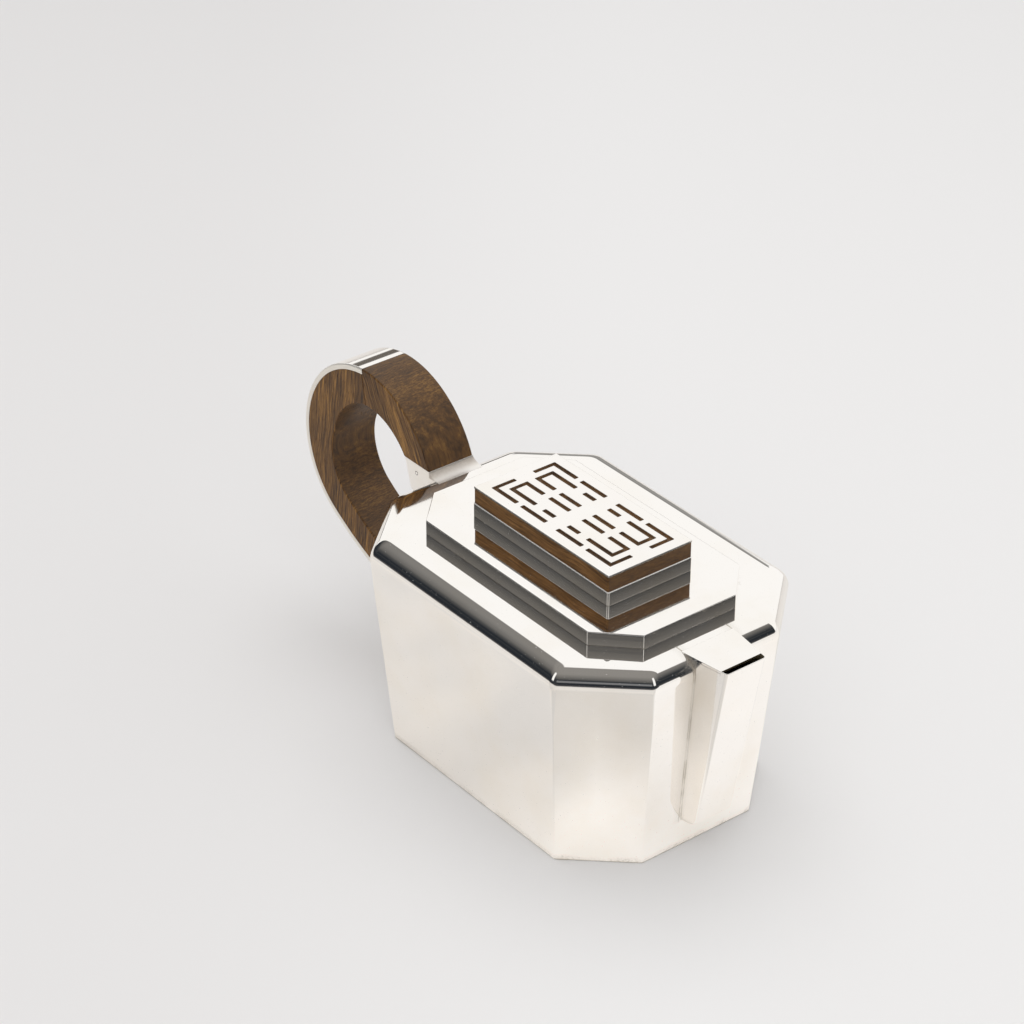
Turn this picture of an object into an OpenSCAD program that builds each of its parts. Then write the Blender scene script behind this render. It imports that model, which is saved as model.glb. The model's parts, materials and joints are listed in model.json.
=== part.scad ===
// Low octagonal silver teapot with a hinged box lid, a box spout and a rosewood loop handle.
// Millimetres. The origin is the centre of the base, +X points at the spout and +Z is up.

/* [Body] */
// Length of the body at its widest, round the shoulder
body_length = 160; // [140:1:180]
// Width of the body at its widest
body_width = 114; // [106:1:124]
// Height of the deck above the base
deck_height = 90; // [84:1:105]
// How far each end wall leans in from the shoulder to its foot
end_lean = 8.5; // [5:0.1:11]
// How far each side wall leans in from the shoulder to its foot
side_lean = 6.5; // [4:0.1:9]
// Length that each corner takes off the long side, at the shoulder
corner_cut_x = 25; // [20:0.5:28]
// Length that each corner takes off the end, at the shoulder
corner_cut_y = 27.5; // [23:0.5:31]
// How far each corner wall leans in towards its foot
corner_lean = 8.4; // [5:0.1:10]
// Radius of the shoulder between the walls and the deck
shoulder_radius = 8; // [5:0.5:10]
// Thickness of the silver sheet
sheet = 1; // [0.8:0.1:1.3]
// Thickness of the base plate
base_sheet = 1.2; // [0.8:0.1:2]

/* [Lid] */
// Length of the lid
lid_length = 125; // [110:1:130]
// Width of the lid
lid_width = 73; // [64:0.5:80]
// Length that each corner takes off the lid's sides
lid_corner_cut = 14.5; // [10:0.5:18]
// Height of the lid's box
lid_height = 5.6; // [4.5:0.1:8]
// How far the lid sits forward of the middle of the body
lid_shift = 1.6; // [0:0.1:3]
// Seam between the lid's rim and the deck
lid_seam = 0.25; // [0.2:0.05:0.4]
// Ledge of deck that the lid's rim covers
lid_ledge = 4; // [3:0.25:6]
// Depth of the collar under the lid opening
collar_depth = 5; // [3:0.5:8]
// How far the lid's flange reaches below the deck
flange_depth = 4; // [2:0.5:6]
// Clearance between the flange and the collar
flange_clearance = 0.5; // [0.4:0.05:1]

/* [Hinge] */
// Radius of the hinge knuckles
knuckle_radius = 1.5; // [1.2:0.1:1.8]
// Radius of the hinge pin
hinge_pin_radius = 0.6; // [0.4:0.05:0.8]
// Length of the whole hinge
hinge_length = 24; // [18:1:30]
// Radial clearance of the lid's knuckles on the pin
hinge_clearance = 0.05; // [0.02:0.01:0.1]
// Gap between one knuckle and the next
knuckle_gap = 0.3; // [0.3:0.05:0.5]

/* [Finial] */
// Length of the finial
finial_length = 80; // [66:1:90]
// Width of the finial
finial_width = 40.5; // [34:0.5:46]
// Height of the silver base of the finial
finial_base_height = 5.8; // [4:0.1:8]
// Height of the rosewood block
finial_block_height = 6.2; // [5:0.1:9]
// Thickness of the pierced plaque
plaque_sheet = 0.85; // [0.6:0.05:1.2]
// Width of the plaque's slots
fret_slot = 1.8; // [1.2:0.1:2.2]
// Plain margin round the fretwork
fret_margin = 5; // [4:0.25:6]
// Radius of the screws that hold the finial
screw_radius = 1.5; // [1:0.1:2]
// Distance between the two screws
screw_spacing = 50; // [36:1:60]

/* [Spout] */
// How far the top of the spout stands out from the body
spout_reach = 15.1; // [12:0.1:19]
// How far the foot of the spout stands out from the base
spout_foot_reach = 9.5; // [7:0.1:12]
// Height of the foot of the spout above the base
spout_foot_height = 13; // [9:0.5:18]
// Width of the spout's front at the deck
spout_front_width = 18.6; // [16:0.2:22]
// Width of the spout's front at its foot
spout_foot_width = 16.8; // [16:0.2:18]
// How much each side of the spout flares for each millimetre towards the body
spout_flare = 0.143; // [0.1:0.001:0.18]
// Thickness of the spout's walls
spout_sheet = 0.9; // [0.7:0.1:1.2]
// Radius round the foot of the spout
spout_foot_round = 2; // [1:0.25:3]
// Width of the pouring slot
pour_slot = 2.2; // [1.6:0.1:3]
// Radius of the strainer holes
strainer_hole_radius = 1.25; // [0.8:0.05:1.5]
// Distance between strainer holes
strainer_pitch = 4.5; // [4:0.1:5]

/* [Handle] */
// Width of the handle
handle_width = 21.6; // [18:0.2:25]
// Thickness of the silver strap
strap_sheet = 2.4; // [1.8:0.1:3]
// Radius of the front arm up to the joint
arm_front_radius = 43; // [40:0.5:46]
// Radius of the loop from the joint to the back
loop_top_radius = 44; // [41:0.5:47]
// Radius of the back of the loop
loop_back_radius = 40; // [37:0.5:43]
// Radius of the arm that runs under the loop to the body
loop_under_radius = 140; // [130:1:150]
// Thickness of the front arm at its socket
foot_thickness = 14.2; // [13:0.1:14.6]
// Thickness of the loop at the joint between the two wooden pieces
joint_thickness = 15.9; // [14.5:0.1:18]
// Thickness of the loop at its back
back_thickness = 19.9; // [17:0.1:22]
// Thickness of the lower arm at mid length
under_thickness = 15.4; // [13.5:0.1:17]
// Thickness of the lower arm at the body
end_thickness = 12.5; // [11:0.1:14]
// How far the joint leans from square to the loop
joint_lean = 4; // [0:1:10]
// Radius of the dowels across the joint
dowel_radius = 1.5; // [1:0.1:2]
// Length of the dowels
dowel_length = 16; // [10:1:20]
// Radius of the pins through the sockets
socket_pin_radius = 0.9; // [0.6:0.05:1.2]
// Radius of the pins that hold the strap
strap_pin_radius = 0.8; // [0.5:0.05:1]

/* [Sockets] */
// Height of the upper socket's mouth above the deck
socket_rise = 2.3; // [1.5:0.1:3.5]
// Length of the upper socket's mouth
socket_length = 15.5; // [15:0.1:17]
// Height of the upper socket's bracket down the rear wall
bracket_height = 24; // [20:0.5:28]
// Depth of the tenon in the upper socket
tenon_depth = 8.3; // [6:0.1:9]
// Length of the tenon along the teapot
tenon_length = 8; // [6:0.1:8.6]
// Wall of the upper socket in front of the tenon
tenon_front_wall = 4; // [3:0.1:4.6]
// Wall of the upper socket at each side of the tenon
tenon_side = 2.8; // [2:0.1:4]
// Length of the sleeve on the lower arm
sleeve_length = 9; // [6:0.5:12]
// Wall of the sleeve on the lower arm
sleeve_wall = 1.2; // [0.8:0.1:1.8]

/* [Hidden] */

$fn = 48;
silver = "#d9d6cf";
rosewood = "#5a3620";
// Longer than anything that a cut passes through
beyond = 400;

// Body
base_length = body_length - 2 * end_lean;
base_width = body_width - 2 * side_lean;
rear_x = -body_length / 2;
corner_angle = atan2(corner_cut_x, corner_cut_y);
corner_half = cos(corner_angle) * (body_length / 2 - corner_cut_x) + sin(corner_angle) * body_width / 2;
corner_base_half = corner_half - corner_lean;
shoulder_steps = 15;

// Lid
lid_floor = deck_height + lid_seam;
lid_top = lid_floor + lid_height;
lid_rear_x = lid_shift - lid_length / 2;

// Hinge
hinge_x = lid_rear_x - knuckle_gap - knuckle_radius;
hinge_z = lid_floor + knuckle_radius;
middle_knuckle = hinge_length / 3;
lid_leaf_below = 0.6;

// Finial
block_floor = lid_top + finial_base_height;
plaque_floor = block_floor + finial_block_height;
screw_grip = 4.8;
screw_clearance = 0.2;
screw_head_radius = 2 * screw_radius;
screw_head_height = 1.6;
washer_radius = screw_head_radius + 1;
washer_sheet = 0.6;
plaque_pin_radius = 0.7;
plaque_pin_depth = 3;
plaque_pin_inset = 2.5;

// Spout
spout_front = body_length / 2 + spout_reach;
spout_foot_front = base_length / 2 + spout_foot_reach;
spout_root_x = body_length / 2 - shoulder_radius - 6;
cover_lap = 1.5;
cover_start = body_length / 2 - shoulder_radius + cover_lap;
cover_end = spout_front - spout_sheet - pour_slot;
strainer_columns = 3;
strainer_rows = 7;
strainer_start = spout_foot_height + 7;
// A strainer drill starts inside the front wall and runs on through it
drill_inside = 4;
drill_length = 16;

// Handle, as a chain of tangent arcs that turn left: each is a radius and the angle it sweeps
loop_start = [rear_x + 1.3, deck_height + socket_rise];
loop_heading = 112;
loop_arcs = [
    [arm_front_radius, 73], [loop_top_radius, 67], [loop_back_radius, 75], [loop_under_radius, 31]
];
loop_thickness = [foot_thickness, joint_thickness, back_thickness, under_thickness, end_thickness];
arcs_before_joint = 1;
last_arc = len(loop_arcs) - 1;
arc_steps = 16;
// A height between the front arm and the lower arm
loop_middle = 0.75 * deck_height;
// Straight run past the last arc, which the body's rear wall cuts off
loop_tail = 12;
dowel_offset = 5.5;
// Blind pins: how far each goes into the strap and into the wood
strap_pin_root = 1;
strap_pin_length = 5;
// Where each stands: the arc and how far along it
strap_pin_places = [[1, 0.12], [1, 0.8], [2, 0.6], [3, 0.3]];
tenon_front = loop_start.x - tenon_front_wall;
tenon_root = 1;
tenon_width = handle_width - 2 * tenon_side;
upper_pin = [tenon_front - tenon_length / 2, loop_start.y - tenon_depth / 2];
bracket_batter = 0.3;
bracket_knee = 12;
sleeve_mouth_x = -base_length / 2 - 1.5 - sleeve_length;

function reversed(list) = [for (k = [len(list) - 1 : -1 : 0]) list[k]];

// A rectangle with its corners cut off
module octagon(length, width, cut_x, cut_y) {
    x = length / 2;
    y = width / 2;
    polygon([
        [x, y - cut_y], [x - cut_x, y], [cut_x - x, y], [-x, y - cut_y],
        [-x, cut_y - y], [cut_x - x, -y], [x - cut_x, -y], [x, cut_y - y]
    ]);
}

// Outline of two facing walls that lean in to the base and run tangent into a round shoulder,
// drawn inset by some thickness
module wall_outline(top_half, base_half, inset) {
    centre = [top_half - shoulder_radius, deck_height - shoulder_radius];
    reach = norm([centre.x - base_half, centre.y]);
    lean = atan2(centre.y, centre.x - base_half) - asin(shoulder_radius / reach);
    foot = [base_half - inset / sin(lean), 0];
    shoulder = [
        for (a = [lean - 90, each [0 : 90 / shoulder_steps : 90]])
            centre + (shoulder_radius - inset) * [cos(a), sin(a)]
    ];
    half = concat([foot], shoulder);
    polygon(concat(half, [for (p = reversed(half)) [-p.x, p.y]]));
}

// One pair of facing walls as a bar across the body, turned about the vertical
module wall_pair(top_half, base_half, inset, angle) {
    rotate([0, 0, angle])
        rotate([90, 0, 0])
            linear_extrude(beyond, center = true) wall_outline(top_half, base_half, inset);
}

// The whole body as one solid, inset by some thickness
module body_form(inset = 0) {
    intersection() {
        wall_pair(body_length / 2, base_length / 2, inset, 0);
        wall_pair(body_width / 2, base_width / 2, inset, 90);
        wall_pair(corner_half, corner_base_half, inset, corner_angle);
        wall_pair(corner_half, corner_base_half, inset, -corner_angle);
    }
}

module lid_outline(inset = 0) {
    translate([lid_shift, 0])
        octagon(
            lid_length - 2 * inset, lid_width - 2 * inset,
            lid_corner_cut - (2 - sqrt(2)) * inset, lid_corner_cut - (2 - sqrt(2)) * inset
        );
}

module body_shell() {
    color(silver)
        difference() {
            body_form();
            body_form(sheet);
            translate([0, 0, deck_height - 2 * sheet])
                linear_extrude(4 * sheet) lid_outline(lid_ledge);
            strainer_holes();
        }
}

module strainer_holes() {
    for (row = [0 : strainer_rows - 1], column = [0 : strainer_columns - 1]) {
        y = (column - (strainer_columns - 1) / 2) * strainer_pitch;
        translate([base_length / 2 - drill_inside, y, strainer_start + row * strainer_pitch])
            rotate([0, 90, 0]) cylinder(h = drill_length, r = strainer_hole_radius, $fn = 24);
    }
}

module base_plate() {
    color(silver)
        intersection() {
            body_form(sheet);
            translate([-beyond / 2, -beyond / 2, 0]) cube([beyond, beyond, base_sheet]);
        }
}

module lid_collar() {
    color(silver)
        translate([0, 0, deck_height - sheet - collar_depth])
            linear_extrude(collar_depth)
                difference() {
                    lid_outline(lid_ledge - sheet);
                    lid_outline(lid_ledge);
                }
}

// Stacked four-sided rings joined into one solid
module loft(rings) {
    count = len(rings[0]);
    levels = len(rings);
    points = [for (ring = rings) each ring];
    sides = [
        for (level = [0 : levels - 2], k = [0 : count - 1])
            let (a = level * count + k, b = level * count + (k + 1) % count)
                [a, a + count, b + count, b]
    ];
    bottom = [for (k = [0 : count - 1]) k];
    top = [for (k = [count - 1 : -1 : 0]) (levels - 1) * count + k];
    polyhedron(points = points, faces = concat([bottom], sides, [top]));
}

function spout_share(z) = (z - spout_foot_height) / (deck_height - spout_foot_height);
function spout_front_at(z) = spout_foot_front + (spout_front - spout_foot_front) * spout_share(z);
function spout_half_at(z) =
    (spout_foot_width + (spout_front_width - spout_foot_width) * spout_share(z)) / 2;

// Cross-section of the spout at one height, inset by some thickness
function spout_ring(z, inset) =
    let (
        front = spout_front_at(z) - inset,
        half = spout_half_at(z) - inset + spout_flare * inset,
        root = half + spout_flare * (front - spout_root_x)
    )
    [[spout_root_x, -root, z], [front, -half, z], [front, half, z], [spout_root_x, root, z]];

module spout_form() {
    foot_rings = [
        for (a = [0 : 15 : 90])
            spout_ring(
                spout_foot_height + spout_foot_round * (1 - cos(a)),
                spout_foot_round * (1 - sin(a))
            )
    ];
    loft(concat(foot_rings, [spout_ring(deck_height, 0)]));
}

module spout_hollow() {
    loft([
        spout_ring(spout_foot_height + spout_sheet, spout_sheet + spout_foot_round / 2),
        spout_ring(spout_foot_height + spout_foot_round, spout_sheet),
        spout_ring(deck_height + sheet, spout_sheet)
    ]);
}

// The slab of the spout's top from a given place to the pouring slot
module cover_slab(start) {
    translate([start, -beyond / 2, deck_height - sheet])
        cube([cover_end - start, beyond, 2 * sheet]);
}

module spout_channel() {
    color(silver)
        difference() {
            spout_form();
            spout_hollow();
            cover_slab(spout_root_x);
            body_form();
        }
}

module spout_cover() {
    color(silver)
        difference() {
            intersection() {
                spout_form();
                cover_slab(cover_start);
            }
            body_form();
        }
}

// A bar along Y with its middle at the given point of the X-Z plane
module cross_bar(place, radius, length) {
    translate([place.x, 0, place.y])
        rotate([90, 0, 0]) cylinder(h = length, r = radius, center = true);
}

module body_knuckle() {
    color(silver)
        difference() {
            union() {
                cross_bar([hinge_x, hinge_z], knuckle_radius, middle_knuckle);
                translate([hinge_x - knuckle_radius, -middle_knuckle / 2, deck_height])
                    cube([2 * knuckle_radius, middle_knuckle, hinge_z - deck_height]);
            }
            cross_bar([hinge_x, hinge_z], hinge_pin_radius, hinge_length);
        }
}

module hinge_pin() {
    color(silver) cross_bar([hinge_x, hinge_z], hinge_pin_radius, hinge_length);
}

module lid_knuckle() {
    start = middle_knuckle / 2 + knuckle_gap;
    length = hinge_length / 2 - start;
    difference() {
        union() {
            translate([0, start + length / 2, 0])
                cross_bar([hinge_x, hinge_z], knuckle_radius, length);
            translate([hinge_x, start, hinge_z - lid_leaf_below])
                cube([lid_rear_x - hinge_x, length, lid_leaf_below + knuckle_radius]);
        }
        cross_bar([hinge_x, hinge_z], hinge_pin_radius + hinge_clearance, hinge_length + 2);
    }
}

module lid_knuckles() {
    color(silver) {
        lid_knuckle();
        mirror([0, 1, 0]) lid_knuckle();
    }
}

// Both screw places, for pieces that stand at a given height
module at_screws(z) {
    for (side = [-1, 1]) {
        translate([lid_shift + side * screw_spacing / 2, 0, z]) children();
    }
}

module screw_holes(z, height) {
    at_screws(z) cylinder(h = height, r = screw_radius + screw_clearance);
}

module lid_cover() {
    color(silver)
        difference() {
            translate([0, 0, lid_floor]) linear_extrude(lid_height) lid_outline();
            translate([0, 0, lid_floor - sheet]) linear_extrude(lid_height) lid_outline(sheet);
            screw_holes(lid_top - 2 * sheet, 4 * sheet);
        }
}

module lid_flange() {
    outer = lid_ledge + flange_clearance;
    color(silver)
        translate([0, 0, deck_height - flange_depth])
            linear_extrude(lid_top - sheet - deck_height + flange_depth)
                difference() {
                    lid_outline(outer);
                    lid_outline(outer + sheet);
                }
}

module finial_bar(inset, z, height) {
    translate([lid_shift - finial_length / 2 + inset, -finial_width / 2 + inset, z])
        cube([finial_length - 2 * inset, finial_width - 2 * inset, height]);
}

module finial_base() {
    color(silver)
        difference() {
            finial_bar(0, lid_top, finial_base_height);
            finial_bar(sheet, lid_top - sheet, finial_base_height);
            screw_holes(block_floor - 2 * sheet, 4 * sheet);
        }
}

module at_plaque_pins(z) {
    x = finial_length / 2 - plaque_pin_inset;
    y = finial_width / 2 - plaque_pin_inset;
    for (side = [-1, 1], end = [-1, 1]) {
        translate([lid_shift + end * x, side * y, z]) children();
    }
}

module finial_block() {
    color(rosewood)
        difference() {
            finial_bar(0, block_floor, finial_block_height);
            at_screws(block_floor - sheet) cylinder(h = screw_grip + sheet, r = screw_radius);
            at_plaque_pins(plaque_floor - plaque_pin_depth)
                cylinder(h = plaque_pin_depth + 1, r = plaque_pin_radius);
        }
}

// A slot that starts at a corner and runs on by a length in x and y
module slot(x, y, along_x, along_y) {
    translate([x, y]) square([along_x + fret_slot, along_y + fret_slot]);
}

// One quarter of a plain key pattern: broken frames round a ladder, mirrored to both sides
module fret_quarter() {
    x = finial_length / 2 - fret_margin - fret_slot;
    y = finial_width / 2 - fret_margin - fret_slot;
    step = 2.6 * fret_slot;
    // Outer frame: a corner angle and a dash that runs on towards the middle
    slot(0.62 * x, y, 0.38 * x, 0);
    slot(x, 0.34 * y, 0, 0.66 * y);
    slot(0.1 * x, y, 0.38 * x, 0);
    // Inner frame: a hook that turns in on itself
    slot(0.46 * x, y - step, 0.54 * x - step, 0);
    slot(x - step, fret_slot, 0, y - step - fret_slot);
    slot(0.72 * x - step, fret_slot, 0.28 * x, 0);
    // Rungs of the middle ladder
    slot(0.12 * x, 0.9 * fret_slot, 0.3 * x, 0);
    slot(0.12 * x, y - step, 0.14 * x, 0);
}

module fretwork() {
    translate([lid_shift, 0]) {
        for (mx = [0, 1], my = [0, 1]) {
            mirror([mx, 0]) mirror([0, my]) fret_quarter();
        }
    }
}

module finial_plaque() {
    color(silver)
        difference() {
            finial_bar(0, plaque_floor, plaque_sheet);
            translate([0, 0, plaque_floor - 1]) linear_extrude(plaque_sheet + 2) fretwork();
        }
}

module plaque_pins() {
    color(silver)
        at_plaque_pins(plaque_floor - plaque_pin_depth)
            cylinder(h = plaque_pin_depth, r = plaque_pin_radius);
}

module finial_screws() {
    head_floor = lid_top - sheet - washer_sheet - screw_head_height;
    color("#b8a878")
        at_screws(head_floor) {
            cylinder(h = screw_head_height, r = screw_head_radius);
            cylinder(h = block_floor + screw_grip - head_floor, r = screw_radius);
        }
}

module finial_washers() {
    color(silver)
        at_screws(lid_top - sheet - washer_sheet)
            difference() {
                cylinder(h = washer_sheet, r = washer_radius);
                translate([0, 0, -1])
                    cylinder(h = washer_sheet + 2, r = screw_radius + screw_clearance);
            }
}

// The point and heading after turning left through an angle on a radius
function turned(at, radius, angle) =
    let (h = at[1])
    [at[0] + radius * [sin(h + angle) - sin(h), cos(h) - cos(h + angle)], h + angle];

// Where one arc of the loop starts, as a point and a heading
function arc_start(i) =
    i < 1 ? [loop_start, loop_heading]
          : turned(arc_start(i - 1), loop_arcs[i - 1][0], loop_arcs[i - 1][1]);

// A place on the loop: the arc, the share of it that is passed, and the share of the thickness
function loop_at(i, share) = turned(arc_start(i), loop_arcs[i][0], loop_arcs[i][1] * share);
function thickness_at(i, share) = loop_thickness[i] + (loop_thickness[i + 1] - loop_thickness[i]) * share;
function inward(heading) = [-sin(heading), cos(heading)];
function loop_point(i, share, depth) = let (at = loop_at(i, share)) at[0] + depth * inward(at[1]);

// A line along the loop at a constant depth plus a share of the thickness
function loop_line(first, last, depth, share_of_thickness) = [
    for (i = [first : last], k = [(i == first ? 0 : 1) : arc_steps])
        let (share = k / arc_steps)
            loop_point(i, share, depth + share_of_thickness * thickness_at(i, share))
];

function tail_end(line) =
    let (h = loop_at(last_arc, 1)[1])
    line[len(line) - 1] + loop_tail * [cos(h), sin(h)];

// A band of the loop between two depths, with the tail where it runs to the body
module loop_band(first, last, outer_depth, inner_depth, share_of_thickness) {
    outer = loop_line(first, last, outer_depth, 0);
    inner = loop_line(first, last, inner_depth, share_of_thickness);
    tail = last == last_arc ? [tail_end(outer), tail_end(inner)] : [];
    polygon(concat(outer, tail, reversed(inner)));
}

// Everything behind the joint, which leans, and everything lower than the middle of the loop
module behind_joint() {
    at = loop_at(arcs_before_joint, 0);
    translate(at[0])
        rotate(at[1] + joint_lean)
            translate([0, -beyond / 2]) square([beyond, beyond]);
    translate([-beyond, loop_middle - beyond]) square([2 * beyond, beyond]);
}

// Raises a side view in the X-Z plane to a solid centred on the handle
module across(width) {
    rotate([90, 0, 0]) linear_extrude(width, center = true) children();
}

// Dowels lie square to the joint, one at each side
module dowels() {
    at = loop_at(arcs_before_joint, 0);
    middle = loop_point(arcs_before_joint, 0, strap_sheet + (joint_thickness - strap_sheet) / 2);
    for (side = [-1, 1]) {
        translate([middle.x, side * dowel_offset, middle.y])
            rotate([0, 90 - at[1] - joint_lean, 0])
                cylinder(h = dowel_length, r = dowel_radius, center = true);
    }
}

// The tongue of the front arm in its socket, rooted a little way into the arm
module tenon() {
    translate([tenon_front - tenon_length, -tenon_width / 2, loop_start.y - tenon_depth])
        cube([tenon_length, tenon_width, tenon_depth + tenon_root]);
}

module handle_front() {
    color(rosewood)
        difference() {
            union() {
                across(handle_width)
                    intersection() {
                        difference() {
                            loop_band(0, arcs_before_joint, 0, 0, 1);
                            behind_joint();
                        }
                        translate([-beyond, loop_start.y]) square(beyond);
                    }
                tenon();
            }
            dowels();
            cross_bar(upper_pin, socket_pin_radius, handle_width);
        }
}

module handle_rear() {
    color(rosewood)
        difference() {
            across(handle_width)
                intersection() {
                    loop_band(arcs_before_joint - 1, last_arc, strap_sheet, 0, 1);
                    behind_joint();
                }
            dowels();
            strap_pins();
            cross_bar(lower_pin(), socket_pin_radius, handle_width + 1);
            body_form();
        }
}

module handle_strap() {
    color(silver)
        difference() {
            across(handle_width)
                intersection() {
                    loop_band(arcs_before_joint - 1, last_arc, 0, strap_sheet, 0);
                    behind_joint();
                }
            strap_pins();
            body_form();
        }
}

module handle_dowels() {
    color("#7a5230") dowels();
}

module strap_pins() {
    color(silver)
        for (place = strap_pin_places) {
            at = loop_at(place[0], place[1]);
            end = loop_point(place[0], place[1], strap_sheet + strap_pin_length);
            length = strap_pin_root + strap_pin_length;
            translate([end.x, 0, end.y])
                rotate([0, 180 - at[1], 0]) cylinder(h = length, r = strap_pin_radius);
        }
}

// Side view of the upper socket: a concave toe on the deck, a mouth and a bracket behind it
module socket_outline() {
    toe = rear_x + shoulder_radius;
    run = toe - loop_start.x;
    toe_radius = (run * run + socket_rise * socket_rise) / (2 * socket_rise);
    rear = loop_start.x - socket_length;
    knee = [rear + bracket_batter * bracket_knee, loop_start.y - bracket_knee];
    difference() {
        polygon([
            [toe, deck_height + socket_rise], [rear, loop_start.y], knee,
            [rear_x + 1, loop_start.y - bracket_height], [toe, deck_height - bracket_height]
        ]);
        translate([toe, deck_height + toe_radius]) circle(r = toe_radius, $fn = 96);
    }
}

module upper_socket() {
    color(silver)
        difference() {
            across(handle_width) socket_outline();
            tenon();
            cross_bar(upper_pin, socket_pin_radius, handle_width + 1);
            body_form();
        }
}

module upper_socket_pin() {
    color(silver) cross_bar(upper_pin, socket_pin_radius, handle_width);
}

// The lower pin stands at mid sleeve, halfway between the strap and the arm's inner side
function lower_pin() =
    let (
        start = arc_start(last_arc),
        centre = start[0] + loop_arcs[last_arc][0] * inward(start[1]),
        radius = loop_arcs[last_arc][0] - (strap_sheet + end_thickness) / 2,
        x = sleeve_mouth_x + sleeve_length / 2
    )
    [x, centre.y - sqrt(radius * radius - (x - centre.x) * (x - centre.x))];

module lower_socket() {
    color(silver)
        difference() {
            across(handle_width + 2 * sleeve_wall)
                intersection() {
                    loop_band(last_arc, last_arc, -sleeve_wall, sleeve_wall, 1);
                    translate([sleeve_mouth_x, 0]) square(beyond);
                }
            across(handle_width) loop_band(last_arc, last_arc, 0, 0, 1);
            cross_bar(lower_pin(), socket_pin_radius, handle_width + 4 * sleeve_wall);
            body_form();
        }
}

module lower_socket_pin() {
    color(silver) cross_bar(lower_pin(), socket_pin_radius, handle_width + 2 * sleeve_wall);
}

body_shell();
base_plate();
lid_collar();
spout_channel();
spout_cover();
body_knuckle();
hinge_pin();
upper_socket();
upper_socket_pin();
lower_socket();
lower_socket_pin();
handle_front();
handle_rear();
handle_strap();
handle_dowels();
strap_pins();
lid_cover();
lid_flange();
lid_knuckles();
finial_base();
finial_block();
finial_plaque();
plaque_pins();
finial_screws();
finial_washers();
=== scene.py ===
"""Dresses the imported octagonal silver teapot: skins with real edge radii, silver, rosewood and a studio.

A sub-assembly's sizes are in mm, and a skin's points become metres as it is made; a finish's sizes
are in metres. Both use the part's own frame: +X points at the spout, +Z is up and the origin is the
middle of the foot. A skin takes the place of the plain solid that it follows.
"""

import json
import logging
import math
from dataclasses import dataclass, field
from enum import Enum
from functools import cache
from typing import Optional, Sequence

import bpy
import numpy as np
from mathutils import Matrix, Vector

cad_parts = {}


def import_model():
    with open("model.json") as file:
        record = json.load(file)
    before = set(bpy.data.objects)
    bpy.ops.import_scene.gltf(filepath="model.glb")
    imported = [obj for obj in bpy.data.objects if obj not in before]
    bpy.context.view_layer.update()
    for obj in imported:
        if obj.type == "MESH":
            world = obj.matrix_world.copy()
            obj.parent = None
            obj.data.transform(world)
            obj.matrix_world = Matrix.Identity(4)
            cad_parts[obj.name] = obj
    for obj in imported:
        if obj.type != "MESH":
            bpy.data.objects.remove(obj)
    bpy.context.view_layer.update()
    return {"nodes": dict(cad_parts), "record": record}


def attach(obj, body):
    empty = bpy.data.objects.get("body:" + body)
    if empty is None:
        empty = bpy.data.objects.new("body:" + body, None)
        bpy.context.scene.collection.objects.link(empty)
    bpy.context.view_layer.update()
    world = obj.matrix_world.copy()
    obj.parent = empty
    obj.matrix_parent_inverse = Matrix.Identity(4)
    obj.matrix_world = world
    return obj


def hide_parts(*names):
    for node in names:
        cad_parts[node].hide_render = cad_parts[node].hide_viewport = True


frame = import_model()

log = logging.getLogger("teapot")
MM = 0.001
Array = np.ndarray
Colour = tuple[float, float, float]
BODY_OF = {node: body for body, nodes in frame["record"]["behaviour"]["bodies"].items() for node in nodes}


# ---------------------------------------------------------------- skins


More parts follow.
